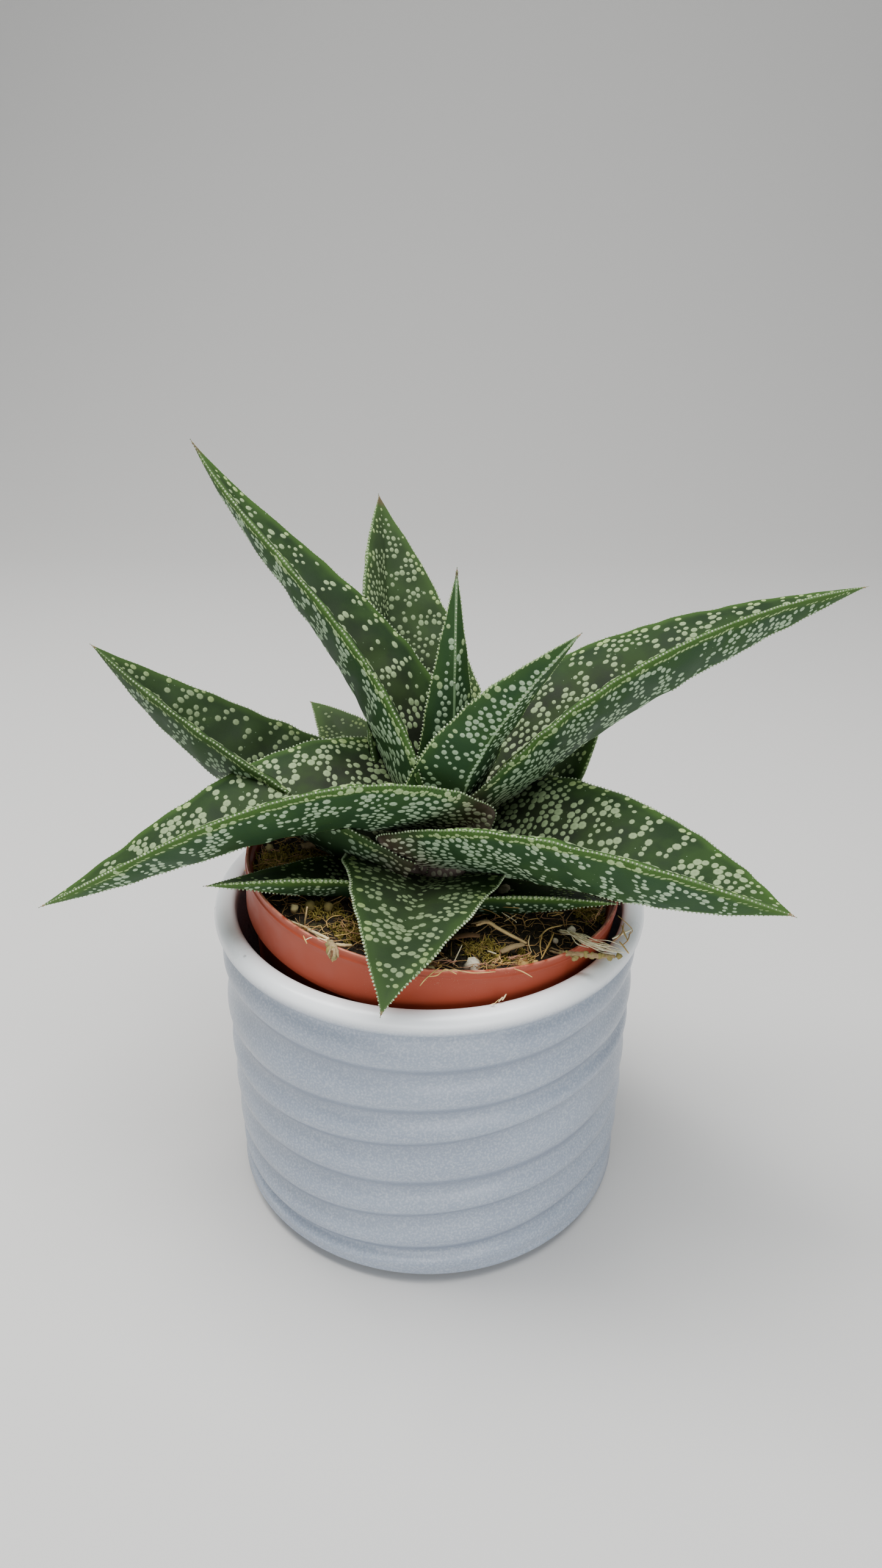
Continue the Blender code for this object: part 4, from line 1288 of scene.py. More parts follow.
# Painted shade: the wall is darkened next to each groove.
glaze = mix(tree, ramp(tree, attribute(tree, "groove_shade"), 0.0, 1.0, 0.0, 0.62), glaze, GLAZE_PAINTED_SHADE)
# Painted highlight: the lip's top and roll are made nearly white.
glaze = mix(tree, ramp(tree, height, 0.1045, 0.1092, 0.0, 0.95), glaze, GLAZE_PALE_AND_LIP_HIGHLIGHT)
specks = add(tree, "ShaderNodeTexVoronoi", {"Vector": place, "Scale": 95.0})
speck = ramp(tree, specks.outputs["Distance"], 0.075, 0.03)
speck = times(tree, speck, ramp(tree, pool, 0.52, 0.6))
glaze = mix(tree, times(tree, speck, 0.8), glaze, SPECK_DARK)
glaze = mix(tree, ramp(tree, height, 0.0012, 0.0004), glaze, CLAY)
tree.links.new(glaze, shader.inputs["Base Color"])
tree.links.new(ramp(tree, noise_value(tree, 60, 3), 0.3, 0.7, 0.26, 0.38), shader.inputs["Roughness"])
add_bump(tree, shader, noise_value(tree, 900, 3), 0.12, 0.0002)
pot = make_object("glazed_pot", pot_mesh, glaze_material)
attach(pot, "root")
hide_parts("outer_pot")
print("Glaze nodes:", len(tree.nodes))

# %% [markdown]
# ## The nursery pot
#
# A thin blow-moulded pot of terracotta-coloured plastic stands inside and leans on the glazed lip, so
# everything in it is made upright and then tilted by one matrix. Inside its collar a small step carries
# the rim of the next pot when they are stacked. The plastic is plain, so its finish is in its details: a
# pale line on the rim's top edge, partly wear and partly a painted highlight, fine scratches along the
# turning, and dust where the soil touched it.

# %% Nursery pot
INNER_HEIGHT = 112
INNER_RIM_RADIUS = 62
INNER_BASE_RADIUS = 46
INNER_WALL = 1.2
INNER_COLLAR = 17
INNER_STEP = 1.4
INNER_TILT = math.radians(6)
INNER_LEAN = 2.2
INNER_LEAN_SIDE = math.radians(-50)
INNER_COLUMNS = 200
INNER_WOBBLES = (0.12, 0.08)

lean_x = INNER_LEAN * math.cos(INNER_LEAN_SIDE) - POT_HEIGHT * math.sin(INNER_TILT)
lean_y = INNER_LEAN * math.sin(INNER_LEAN_SIDE)
lean_z = POT_FLOOR + GAP + INNER_BASE_RADIUS * math.sin(INNER_TILT)
inner_place = Matrix.Translation((lean_x, lean_y, lean_z)) @ Matrix.Rotation(INNER_TILT, 4, "Y")


def tilted(points):
    """Points of the upright nursery pot, moved to where it leans."""
    turn = np.array(inner_place.to_3x3())
    return np.asarray(points, float) @ turn.T + np.array(inner_place.translation)


def inner_body_radius(height):
    """Outer radius of the nursery pot below its collar."""
    top = INNER_RIM_RADIUS - INNER_STEP
    return INNER_BASE_RADIUS + (top - INNER_BASE_RADIUS) * height / INNER_HEIGHT


print("The nursery pot stands at, mm:", [round(v, 1) for v in inner_place.translation])

# %% Nursery pot profile
collar = INNER_HEIGHT - INNER_COLLAR
ledge = INNER_HEIGHT - 4.5
rim = INNER_RIM_RADIUS
wall = INNER_WALL
base = INNER_BASE_RADIUS
top = INNER_HEIGHT
inner_profile = [(0, wall), (25, wall), (base - 1.8 * wall, wall), (base - wall, wall + 1)]
inner_profile += [(inner_body_radius(z) - wall, z) for z in (20, 40, 60, 80, collar)]
inner_profile += [(rim - 2.3 * wall, ledge - 0.9), (rim - 2.12 * wall, ledge - 0.2)]
inner_profile += [(rim - 1.95 * wall, ledge + 0.1), (rim - 1.4 * wall, ledge + 0.35)]
inner_profile += [(rim - 1.15 * wall, ledge + 0.8), (rim - 1.05 * wall, ledge + 2)]
inner_profile += [(rim - wall, top - 0.4), (rim - 0.85 * wall, top - 0.1)]
inner_profile += [(rim - 0.5 * wall, top), (rim - 0.2 * wall, top - 0.08)]
inner_profile += [(rim - 0.25 - 0.1 * t, top - 0.3 - 0.8 * t) for t in (0, 1, 2)]
inner_profile += [(rim - 0.36, top - 2.3), (rim - 0.12, top - 2.5), (rim - 0.05, top - 2.7)]
inner_profile += [(rim - 0.06 * t, top - t) for t in (3, 5, 7, 9, 11, 13, 15)]
inner_profile += [(rim - 0.95, collar + 0.6), (rim - 1.1, collar + 0.15), (rim - 1.5, collar)]
inner_profile += [(inner_body_radius(z), z) for z in (collar - 0.6, 80, 60, 40, 20, 3)]
inner_profile += [(base + 0.5, 1.2), (base - 0.1, 0.3), (base - 1, 0)]
inner_profile += [(25, 0), (0, 0)]
inner_mesh, inner_points = turned("nursery pot", inner_profile, INNER_COLUMNS)
angle = np.arctan2(inner_points[:, 1], inner_points[:, 0])
soft = INNER_WOBBLES[0] * np.sin(2 * angle + 0.7) + INNER_WOBBLES[1] * np.sin(5 * angle)
inner_points[:, :2] *= (1 + soft * (inner_points[:, 2] > 60) / INNER_RIM_RADIUS)[:, None]
rim_share = np.clip((inner_points[:, 2] - INNER_HEIGHT + 0.5) / 0.5, 0, 1)
set_points(inner_mesh, tilted(inner_points))
write_attribute(inner_mesh, "rim", rim_share)
print("Nursery pot faces:", len(inner_mesh.polygons))

# %% Plastic
TERRACOTTA = srgb(154, 66, 43)
TERRACOTTA_DARK = srgb(144, 58, 38)
# The pale colour of the rim's top edge: partly wear, partly a painted highlight.
TERRACOTTA_WEAR_AND_HIGHLIGHT = srgb(214, 142, 116)
DUST = srgb(190, 168, 140)

plastic_material, tree, shader = new_material("terracotta plastic", roughness=0.45, Specular_IOR_Level=0.3)
clouds = noise_value(tree, 35, 3)
plastic = mix(tree, ramp(tree, clouds, 0.3, 0.7, 0.0, 0.35), TERRACOTTA, TERRACOTTA_DARK)
# The rim's top edge is paled in patches: partly wear, partly a painted highlight.
wear_and_highlight = times(tree, attribute(tree, "rim"), ramp(tree, noise_value(tree, 300, 3), 0.35, 0.6))
plastic = mix(tree, times(tree, wear_and_highlight, 0.75), plastic, TERRACOTTA_WEAR_AND_HIGHLIGHT)
grit = ramp(tree, noise_value(tree, 2600, 1), 0.68, 0.76, 0.0, 0.5)
plastic = mix(tree, times(tree, grit, ramp(tree, clouds, 0.5, 0.65)), plastic, DUST)
tree.links.new(plastic, shader.inputs["Base Color"])
tree.links.new(ramp(tree, noise_value(tree, 120, 4), 0.3, 0.7, 0.38, 0.55), shader.inputs["Roughness"])
place = add(tree, "ShaderNodeTexCoord").outputs["Object"]
turning = add(tree, "ShaderNodeMapping", {"Vector": place, "Scale": (60.0, 60.0, 2400.0)}).outputs[0]
scratches = add(tree, "ShaderNodeTexNoise", {"Vector": turning, "Scale": 1.0, "Detail": 2.0}).outputs["Fac"]
add_bump(tree, shader, scratches, 0.12, 0.0001)
inner_pot = make_object("nursery_pot", inner_mesh, plastic_material)
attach(inner_pot, "root")
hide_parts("inner_pot")
print("Plastic nodes:", len(tree.nodes))

# %% [markdown]
# ## Peat
#
# The nursery pot is full of dark peat, crumbly on top, with a shallow pit round the crown. The ground is
# one turned skin whose top is lifted by layers of noise, coarse to fine. A displacement node in the
# material would look the same from above, but the crumbs and fibres that come next need real ground to
# stand on.

# %% Ground
SOIL_BELOW_RIM = 6
SOIL_PIT_RADIUS = 27
SOIL_PIT_DEPTH = 4.5
SOIL_BUMPS = 1.6
SOIL_BUMP_PITCH = 14
SOIL_LUMPS = 0.9
SOIL_LUMP_PITCH = 4.5
SOIL_GRAINS = 0.45
SOIL_GRAIN_PITCH = 1.6
SOIL_PIT_SLOPE = 0.18
SOIL_COLUMNS = 180
SOIL_RINGS = 76
SOIL_TOP = INNER_HEIGHT - SOIL_BELOW_RIM
SOIL_EDGE = inner_body_radius(SOIL_TOP) - INNER_WALL - 0.1


def ground_height(x, y):
    """Height of the peat in the upright pot."""
    radius = math.hypot(x, y)
    slope_width = SOIL_PIT_SLOPE * (SOIL_EDGE - SOIL_PIT_RADIUS)
    pit = min(max((radius - SOIL_PIT_RADIUS) / slope_width, 0), 1)
    slope = SOIL_TOP - SOIL_PIT_DEPTH * (1 - pit)
    coarse = SOIL_BUMPS * noise.noise((x / SOIL_BUMP_PITCH, y / SOIL_BUMP_PITCH, 3.0)) * pit
    middle = SOIL_LUMPS * noise.noise((x / SOIL_LUMP_PITCH, y / SOIL_LUMP_PITCH, 11.0))
    fine = SOIL_GRAINS * noise.noise((x / SOIL_GRAIN_PITCH, y / SOIL_GRAIN_PITCH, 17.0))
    return slope + (coarse + middle + fine) * min(max((SOIL_EDGE + 0.5 - radius) / 1.5, 0), 1)


soil_profile = [(r, SOIL_TOP) for r in np.linspace(0, SOIL_EDGE, SOIL_RINGS)]
soil_profile += [(inner_body_radius(z) - INNER_WALL - 0.2, z) for z in (100, collar - 1, 60, 30)]
soil_profile += [(INNER_BASE_RADIUS - INNER_WALL - 0.6, INNER_WALL + 0.4)]
soil_profile += [(25, INNER_WALL + 0.3), (0, INNER_WALL + 0.3)]
soil_mesh, soil_points = turned("peat", soil_profile, SOIL_COLUMNS)
on_top = soil_points[:, 2] > SOIL_TOP - 0.01
for index in np.nonzero(on_top)[0]:
    soil_points[index, 2] = ground_height(*soil_points[index, :2])
set_points(soil_mesh, tilted(soil_points))
print("Ground faces:", len(soil_mesh.polygons))

# %% Peat colour
PEAT_BLACK = srgb(34, 28, 20)
PEAT_BROWN = srgb(88, 70, 46)
PEAT_OLIVE = srgb(84, 84, 40)

peat_material, tree, shader = new_material("peat", roughness=0.9)
peat = mix(tree, ramp(tree, noise_value(tree, 420, 4), 0.45, 0.75, 0.0, 0.8), PEAT_BLACK, PEAT_BROWN)
peat = mix(tree, ramp(tree, noise_value(tree, 90, 3), 0.52, 0.68, 0.0, 0.6), peat, PEAT_OLIVE)
tree.links.new(peat, shader.inputs["Base Color"])
add_bump(tree, shader, noise_value(tree, 1600, 3), 0.8, 0.0005)
ground = make_object("peat_ground", soil_mesh, peat_material)
print("Peat nodes:", len(tree.nodes))

# %% [markdown]
# ## Litter on the peat
#
# What makes soil look real is what lies on it. Small crumbs, cushions of moss and short fibres repeat by
# the hundred, so one Geometry Nodes tree throws them on the ground, each kind with its own pieces, size
# and tilt. An attribute says where: crumbs and fibres nearly everywhere, moss in a few cushions.

# %% Where the moss grows
PHOTO_WIDTH = 1445
MOSS_CUSHIONS = {
    "left_back": (470, 1420, 13),
    "left_back_inner": (545, 1405, 9),
    "left_front": (585, 1530, 8),
    "left_middle": (525, 1495, 6),
    "right_middle": (795, 1560, 7),
    "right_edge": (960, 1500, 6),
    "right_front": (855, 1575, 4),
}
EYE = Vector(CAMERA_PLACE) / MM
pot_up = inner_place.to_3x3() @ Vector((0, 0, 1))


def sight(column, row):
    """The direction from the camera through a pixel of the photograph."""
    across = (column - PHOTO_WIDTH / 2) / FOCAL_PIXELS
    down = (row - PHOTO_HEIGHT / 2) / FOCAL_PIXELS
    return (look.to_3x3() @ Vector((across, -down, -1))).normalized()


def on_soil(column, row, lift=0.0):
    """The place in millimetres where a pixel's line of sight comes within lift of the peat."""
    way = sight(column, row)
    point = inner_place @ Vector((0, 0, SOIL_TOP + lift))
    return EYE + way * ((point - EYE).dot(pot_up) / way.dot(pot_up))


def on_lip(column, row, lift=0.0):
    """The same for the top of the glazed lip."""
    way = sight(column, row)
    return EYE + way * ((POT_HEIGHT + lift - EYE.z) / way.z)


upright = inner_place.inverted()
cushions = []
for name, (column, row, reach) in MOSS_CUSHIONS.items():
    spot = upright @ on_soil(column, row)
    cushions.append((spot.x, spot.y, reach))
moss = np.zeros(len(soil_points))
for index in np.nonzero(on_top)[0]:
    x, y = soil_points[index, :2]
    rough = 1 + 0.5 * noise.noise((x / 4, y / 4, 5.0))
    near = max(1 - math.hypot(x - cx, y - cy) / (reach * rough) for cx, cy, reach in cushions)
    moss[index] = min(max(near * 3, 0), 1)
write_attribute(soil_mesh, "moss", moss)
inside = np.hypot(soil_points[:, 0], soil_points[:, 1]) < SOIL_EDGE - 1
write_attribute(soil_mesh, "open", np.where(on_top & inside, 1.0, 0.0))
print("Moss covers", round(float((moss > 0.2).sum() / on_top.sum()), 2), "of the ground's points")


# %% Litter tree
LITTER_INPUTS = dict.fromkeys(("Spacing", "Size", "Least", "Tilt", "Sunk"), "Float")
LITTER_INPUTS |= {"Where": "String", "Pieces": "Collection", "Seed": "Int", "Finish": "Material"}
MOST_LITTER = 3.0 / MM ** 2
FULL_TURN = 6.283


def litter_tree():
    """A tree that throws pieces on the ground and drops the ground itself."""
    tree, inputs, out = new_tree("litter", LITTER_INPUTS)
    throw = {"Mesh": inputs["Geometry"], "Distance Min": inputs["Spacing"], "Density Max": MOST_LITTER}
    throw |= {"Density Factor": named(tree, inputs["Where"]), "Seed": inputs["Seed"]}
    points = add(tree, "GeometryNodeDistributePointsOnFaces", throw, distribute_method="POISSON")
    pieces = {"Collection": inputs["Pieces"], "Separate Children": True, "Reset Children": True}
    pieces = add(tree, "GeometryNodeCollectionInfo", pieces).outputs[0]
    size = times(tree, inputs["Size"], inputs["Least"])
    spread = maths(tree, "SUBTRACT", inputs["Size"], size)
    chance = random_between(tree, 0.0, 1.0, 9)
    size = maths(tree, "ADD", size, times(tree, spread, times(tree, chance, chance)))
    lean = times(tree, random_between(tree, -1.0, 1.0, 21), inputs["Tilt"])
    nod = times(tree, random_between(tree, -1.0, 1.0, 22), inputs["Tilt"])
    spin = random_between(tree, 0.0, FULL_TURN, 23)
    angles = add(tree, "ShaderNodeCombineXYZ", {"X": lean, "Y": nod, "Z": spin}).outputs[0]
    turn = add(tree, "FunctionNodeEulerToRotation", {0: angles}).outputs[0]
    upright = add(tree, "FunctionNodeAlignRotationToVector", {"Vector": points.outputs["Normal"]}, axis="Z")
    turn_by = {"Rotation": upright.outputs[0], "Rotate By": turn}
    turn = add(tree, "FunctionNodeRotateRotation", turn_by, rotation_space="LOCAL").outputs[0]
    sunk = times(tree, inputs["Sunk"], times(tree, size, -1.0))
    down = scaled(tree, points.outputs["Normal"], sunk)
    place = {"Points": moved_to(tree, points.outputs["Points"], Offset=down), "Instance": pieces}
    place |= {"Pick Instance": True, "Rotation": turn, "Scale": size}
    litter = add(tree, "GeometryNodeInstanceOnPoints", place).outputs[0]
    store = {"Geometry": litter, "Name": "tint", "Value": random_between(tree, 0.0, 1.0, 31)}
    litter = add(tree, "GeometryNodeStoreNamedAttribute", store, data_type="FLOAT", domain="INSTANCE")
    tree.links.new(made_solid(tree, litter.outputs[0], inputs["Finish"]), out[0])
    return tree


def throw_litter(name, tree, pieces, values):
    """Runs the litter tree on a copy of the ground, and gives one plain mesh."""
    pile = make_object(name, ground.data.copy())
    shelf = bpy.data.collections.new(name + " pieces")
    for piece in pieces:
        shelf.objects.link(piece)
    grow_on(pile, tree, {"Pieces": shelf} | values)
    settle(pile)
    for piece in pieces:
        bpy.data.objects.remove(piece)
    bpy.data.collections.remove(shelf)
    print(name, "faces:", len(pile.data.polygons))
    return pile


littering = litter_tree()
print("Nodes that throw the litter:", len(littering.nodes))


# %% Heaps
class Heap:
    """Collects small closed shapes into one mesh, each with a tint between 0 and 1."""

    def __init__(self):
        self.points = []
        self.faces = []
        self.tints = []

    def put(self, points, faces, tint=0.5):
        """Adds one shape."""
        start = len(self.points)
        self.points += [tuple(p) for p in points]
        self.faces += [tuple(start + i for i in face) for face in faces]
        self.tints += [tint] * len(points)

    def mesh(self, name):
        """All the shapes as one mesh in metres."""
        made = bpy.data.meshes.new(name)
        made.from_pydata((np.array(self.points) * MM).tolist(), [], self.faces)
        write_attribute(made, "tint", np.array(self.tints))
        made.shade_smooth()
        return made


# %% Tubes
def smooth_path(knots, count):
    """Points on a smooth curve through the knots."""
    knots = np.array([tuple(k) for k in knots], float)
    if len(knots) == 2:
        return knots[0] + (knots[1] - knots[0]) * np.linspace(0, 1, count)[:, None]
    padded = np.concatenate([[2 * knots[0] - knots[1]], knots, [2 * knots[-1] - knots[-2]]])
    made = []
    for t in np.linspace(0, len(knots) - 1 - 1e-9, count):
        i = int(t)
        f = t - i
        a, b, c, d = padded[i:i + 4]
        square = (2 * a - 5 * b + 4 * c - d) * f * f
        cube = (3 * b - a - 3 * c + d) * f ** 3
        made.append(0.5 * (2 * b + (c - a) * f + square + cube))
    return np.array(made)


def tube(path, radii, sides=5, flat=1.0, rough=0.0, rng=None):
    """A closed tube round a path. flat below 1 presses it to a strip, rough makes it uneven."""
    path = np.asarray(path, float)
    ahead = unit(np.gradient(path, axis=0) + 1e-9)
    side = unit(np.cross(ahead, (0.13, 0.21, 1.0)))
    top = np.cross(side, ahead)
    radii = np.broadcast_to(radii, len(path))
    points = []
    for i, centre in enumerate(path):
        for j in range(sides):
            a = 2 * math.pi * j / sides
            size = radii[i] * (1 + (rough * rng.uniform(-1, 1) if rough else 0))
            points.append(centre + side[i] * size * math.cos(a) + top[i] * size * flat * math.sin(a))
    faces = [tuple(range(sides)), tuple((len(path) - 1) * sides + j for j in range(sides))[::-1]]
    for i in range(len(path) - 1):
        for j in range(sides):
            k = (j + 1) % sides
            low = i * sides
            faces.append((low + k, low + j, low + sides + j, low + sides + k))
    return points, faces


def as_piece(name, heap):
    """An object in metres that the litter tree can throw. Its unit is one millimetre."""
    mesh = heap.mesh(name)
    flat = read_points(mesh) / MM
    mesh.vertices.foreach_set("co", flat.astype(np.float32).ravel())
    return bpy.data.objects.new(name, mesh)


print("A tube of one step has", len(tube([(0, 0, 0), (0, 0, 1)], 0.1)[1]), "faces")


# %% Crumbs, moss tufts and short fibres
def crumb(rng, number):
    """A lump a unit across, from a small ball with its points pushed about."""
    shape = bmesh.new()
    bmesh.ops.create_icosphere(shape, subdivisions=1, radius=0.5)
    stretch = rng.uniform(0.55, 1.25, 3)
    points = [np.array(v.co) * stretch * rng.uniform(0.75, 1.25) for v in shape.verts]
    faces = [[v.index for v in f.verts] for f in shape.faces]
    shape.free()
    heap = Heap()
    heap.put(points, faces)
    return as_piece("crumb_%d" % number, heap)


def moss_tuft(rng, number):
    """A few curled threads from one root, a unit high."""
    heap = Heap()
    for _ in range(5):
        turn = rng.uniform(0, 2 * math.pi)
        out = rng.uniform(0.3, 0.9)
        knots = [(0, 0, -0.2)]
        knots.append((0.4 * out * math.cos(turn), 0.4 * out * math.sin(turn), rng.uniform(0.4, 0.7)))
        turn += rng.uniform(-1, 1)
        knots.append((out * math.cos(turn), out * math.sin(turn), rng.uniform(0.3, 0.9)))
        heap.put(*tube(smooth_path(knots, 4), (0.07, 0.09, 0.07, 0.02), 3))
    return as_piece("moss_tuft_%d" % number, heap)


def short_fibre(rng, number):
    """A bent thread a unit long that lies nearly flat."""
    bend = rng.uniform(-0.25, 0.25, 2)
    knots = [(-0.5, 0, 0), (-0.15, bend[0], 0.08), (0.2, bend[1], 0.1), (0.5, rng.uniform(-0.2, 0.2), 0.02)]
    heap = Heap()
    heap.put(*tube(smooth_path(knots, 5), np.linspace(0.02, 0.011, 5), 4))
    return as_piece("short_fibre_%d" % number, heap)


rng = np.random.default_rng(41)
crumbs = [crumb(rng, i) for i in range(6)]
tufts = [moss_tuft(rng, i) for i in range(6)]
short_fibres = [short_fibre(rng, i) for i in range(6)]
print("Litter pieces:", len(crumbs + tufts + short_fibres))

# %% Litter colours
CRUMB_DARK = srgb(38, 31, 21)
CRUMB_TAN = srgb(216, 180, 112)
MOSS_GREEN = srgb(112, 118, 36)
MOSS_GOLD = srgb(222, 186, 92)
STRAW_GOLD = srgb(216, 178, 104)
STRAW_PALE = srgb(250, 242, 206)
ROOT_PINK = srgb(172, 124, 98)
BARK_BROWN = srgb(98, 58, 26)
BARK_TAN = srgb(158, 136, 98)
LUMP_OLIVE = srgb(134, 122, 66)
LUMP_WHITE = srgb(214, 206, 182)


def litter_material(name, dark, light, low, high, roughness=0.8, soiled=0.35):
    """A material that goes from dark to light by a piece's tint, with grain over it."""
    made, tree, shader = new_material(name, roughness)
    colour = mix(tree, ramp(tree, attribute(tree, "tint"), low, high), dark, light)
    colour = mix(tree, ramp(tree, noise_value(tree, 900, 3), 0.35, 0.7, 0.0, soiled), colour, PEAT_BROWN)
    tree.links.new(colour, shader.inputs["Base Color"])
    add_bump(tree, shader, noise_value(tree, 2200, 2), 0.5, 0.0002)
    return made


crumb_material = litter_material("peat crumbs", CRUMB_DARK, CRUMB_TAN, 0.5, 0.95, 0.9)
moss_material = litter_material("moss", MOSS_GREEN, MOSS_GOLD, 0.2, 0.9)
fibre_material = litter_material("straw and roots", ROOT_PINK, STRAW_GOLD, 0.2, 0.7, 0.7)
straw_material = litter_material("pale straw", STRAW_GOLD, STRAW_PALE, 0.3, 0.9, 0.65, 0.15)
bark_material = litter_material("bark", BARK_BROWN, BARK_TAN, 0.2, 0.9, 0.85)
lump_material = litter_material("pale lumps", LUMP_OLIVE, LUMP_WHITE, 0.2, 1.0, 0.85)
print("Materials so far:", len(bpy.data.materials))

# %% Throw the litter
LITTER_KEYS = ("Where", "Spacing", "Size", "Least", "Tilt", "Sunk", "Seed", "Finish")
LITTERS = {
    "peat_crumbs": (crumbs, "open", 1.15 * MM, 2.6 * MM, 0.3, 3.0, 0.15, 3, crumb_material),
    "moss_cushions": (tufts, "moss", 0.95 * MM, 3.4 * MM, 0.55, 0.7, 0.05, 4, moss_material),
    "short_fibres": (short_fibres, "open", 2.9 * MM, 12 * MM, 0.3, 0.22, -0.06, 8, fibre_material),
}
scattered = []
for name, (pieces, *values) in LITTERS.items():
    scattered.append(throw_litter(name, littering, pieces, dict(zip(LITTER_KEYS, values))))

# %% [markdown]
# Some pieces are seen one by one: straws, flakes of bark, a pale lump of cork, a stick with moss along it
# and a frayed bundle of straw that hangs over the rim. Each is a tube or a lump along a few knots. A knot
# is a pixel of the photograph and a height over the peat, so a piece lands where the camera saw it.

# %% Where the straws and sticks lie
STRAWS = {
    "left": ((466, 1506, 1.5), (495, 1518, 2.2), (518, 1529, 4.0), (538, 1538, 6.8)),
    "left_over_rim": ((508, 1522, 3.0), (530, 1540, 5.0), (548, 1547, 7.6)),
    "left_short": ((500, 1540, 6.6), (512, 1536, 5.5), (536, 1540, 7.2)),
    "small_pale": ((550, 1547, 2.0), (562, 1549, 2.6), (576, 1549, 2.0)),
    "long": ((780, 1516, 3.0), (799, 1511, 4.0), (816, 1521, 3.6), (838, 1533, 3.0), (863, 1546, 2.2)),
    "thin_one": ((742, 1580, 2.0), (757, 1548, 4.5)),
    "thin_two": ((705, 1577, 2.0), (733, 1569, 3.0)),
    "thin_three": ((887, 1571, 2.4), (900, 1546, 3.6), (907, 1529, 4.0)),
    "thin_six": ((888, 1567, 2.2), (885, 1548, 3.4), (889, 1528, 3.6)),
    "thin_seven": ((868, 1533, 3.0), (866, 1546, 2.6), (871, 1560, 2.2)),
    "end_one": ((1003, 1538, 8.0), (1019, 1530, 9.4), (1035, 1523, 9.6)),
    "end_two": ((1019, 1516, 9.6), (1023, 1529, 9.6), (1029, 1542, 9.2)),
    "end_three": ((1015, 1543, 9.4), (1021, 1550, 9.2), (1030, 1562, 8.8)),
    "thin_four": ((822, 1495, 3.0), (843, 1508, 2.0), (846, 1512, 1.6)),
    "thin_five": ((826, 1510, 1.6), (846, 1498, 3.2)),
    "crossing": ((884, 1535, 2.0), (898, 1522, 4.0), (921, 1516, 5.0)),
    "white_chip": ((799, 1558, 2.2), (813, 1563, 2.6)),
    "rim_crumb": ((808, 1646, 0.0), (818, 1637, 0.0)),
}
STRAW_THICKNESS = {"left": 0.65, "small_pale": 0.75, "long": 0.72, "white_chip": 0.35, "left_over_rim": 0.5}
STRAW_THICKNESS |= {"thin_three": 0.3, "crossing": 0.3, "end_one": 0.36, "end_two": 0.3, "end_three": 0.3}
STRAW_THICKNESS["rim_crumb"] = 0.14
STICKS = {
    "bark_back": ((495, 1387, 3.5), (515, 1382, 4.0), (531, 1380, 4.2)),
    "mossy_right": (
        (922, 1561, 4.8),
        (938, 1563, 6.4),
        (955, 1564, 7.8),
        (978, 1566, 8.6),
        (1007, 1567, 8.6),
    ),
    "stem_one": ((902, 1553, 2.6), (921, 1559, 5.0), (946, 1561, 7.4)),
    "stem_two": ((901, 1558, 2.6), (920, 1563, 4.8), (944, 1564, 7.0)),
    "lump_left": ((541, 1543, 7.4), (546, 1553, 8.2), (546, 1563, 8.2), (545, 1570, 7.6)),
}
STICK_THICKNESS = {"bark_back": 1.5, "mossy_right": 0.8, "lump_left": 1.1, "stem_one": 0.4, "stem_two": 0.45}
THIN_STRAW = 0.19
OVER_LIP = 0.3
print("Straws and sticks:", len(STRAWS) + len(STICKS))

# %% Straws and sticks
rng = np.random.default_rng(63)


def seen(knots):
    """The places over the peat where the camera sees these knots."""
    return [on_soil(*knot) for knot in knots]


def lay(heap, knots, thick, thin, tint, flat=1.0, rough=0.12, sides=6):
    """Puts a stick along the knots, thick at its middle and thin at its ends."""
    path = smooth_path(knots, 4 + 4 * len(knots))
    swell = np.sin(np.linspace(0.35, math.pi - 0.35, len(path)))
    heap.put(*tube(path, thin + (thick - thin) * swell, sides, flat, rough, rng), tint)


straws = Heap()
for name, knots in STRAWS.items():
    thick = STRAW_THICKNESS.get(name, THIN_STRAW)
    places = seen(knots)
    if name == "rim_crumb":
        places = [on_lip(column, row, OVER_LIP) for column, row, _ in knots]
    lay(straws, places, thick, 0.6 * thick, rng.uniform(0.2, 0.9), 0.75)
foot_of_straw = on_soil(499, 1515, 1.0)
lay(straws, [foot_of_straw, foot_of_straw + pot_up * 6.5 + Vector((0.4, 0, 0))], 0.3, 0.2, 0.5)
for sideways in (-1.4, 0.9, 2.0):
    start = on_lip(812, 1643, 0.7) + Vector((sideways, 0.6 * sideways, 0))
    lay(straws, [start, start + Vector((1.2, 1.0 + 0.7 * sideways, 0.4))], 0.26, 0.15, 0.6, 0.6)
sticks = Heap()
for name, knots in STICKS.items():
    thick = STICK_THICKNESS[name]
    lay(sticks, seen(knots), thick, 0.7 * thick, rng.uniform(0.45, 1.0), 0.8, 0.35, 8)
print("Faces in the straws:", len(straws.faces), "and in the sticks:", len(sticks.faces))

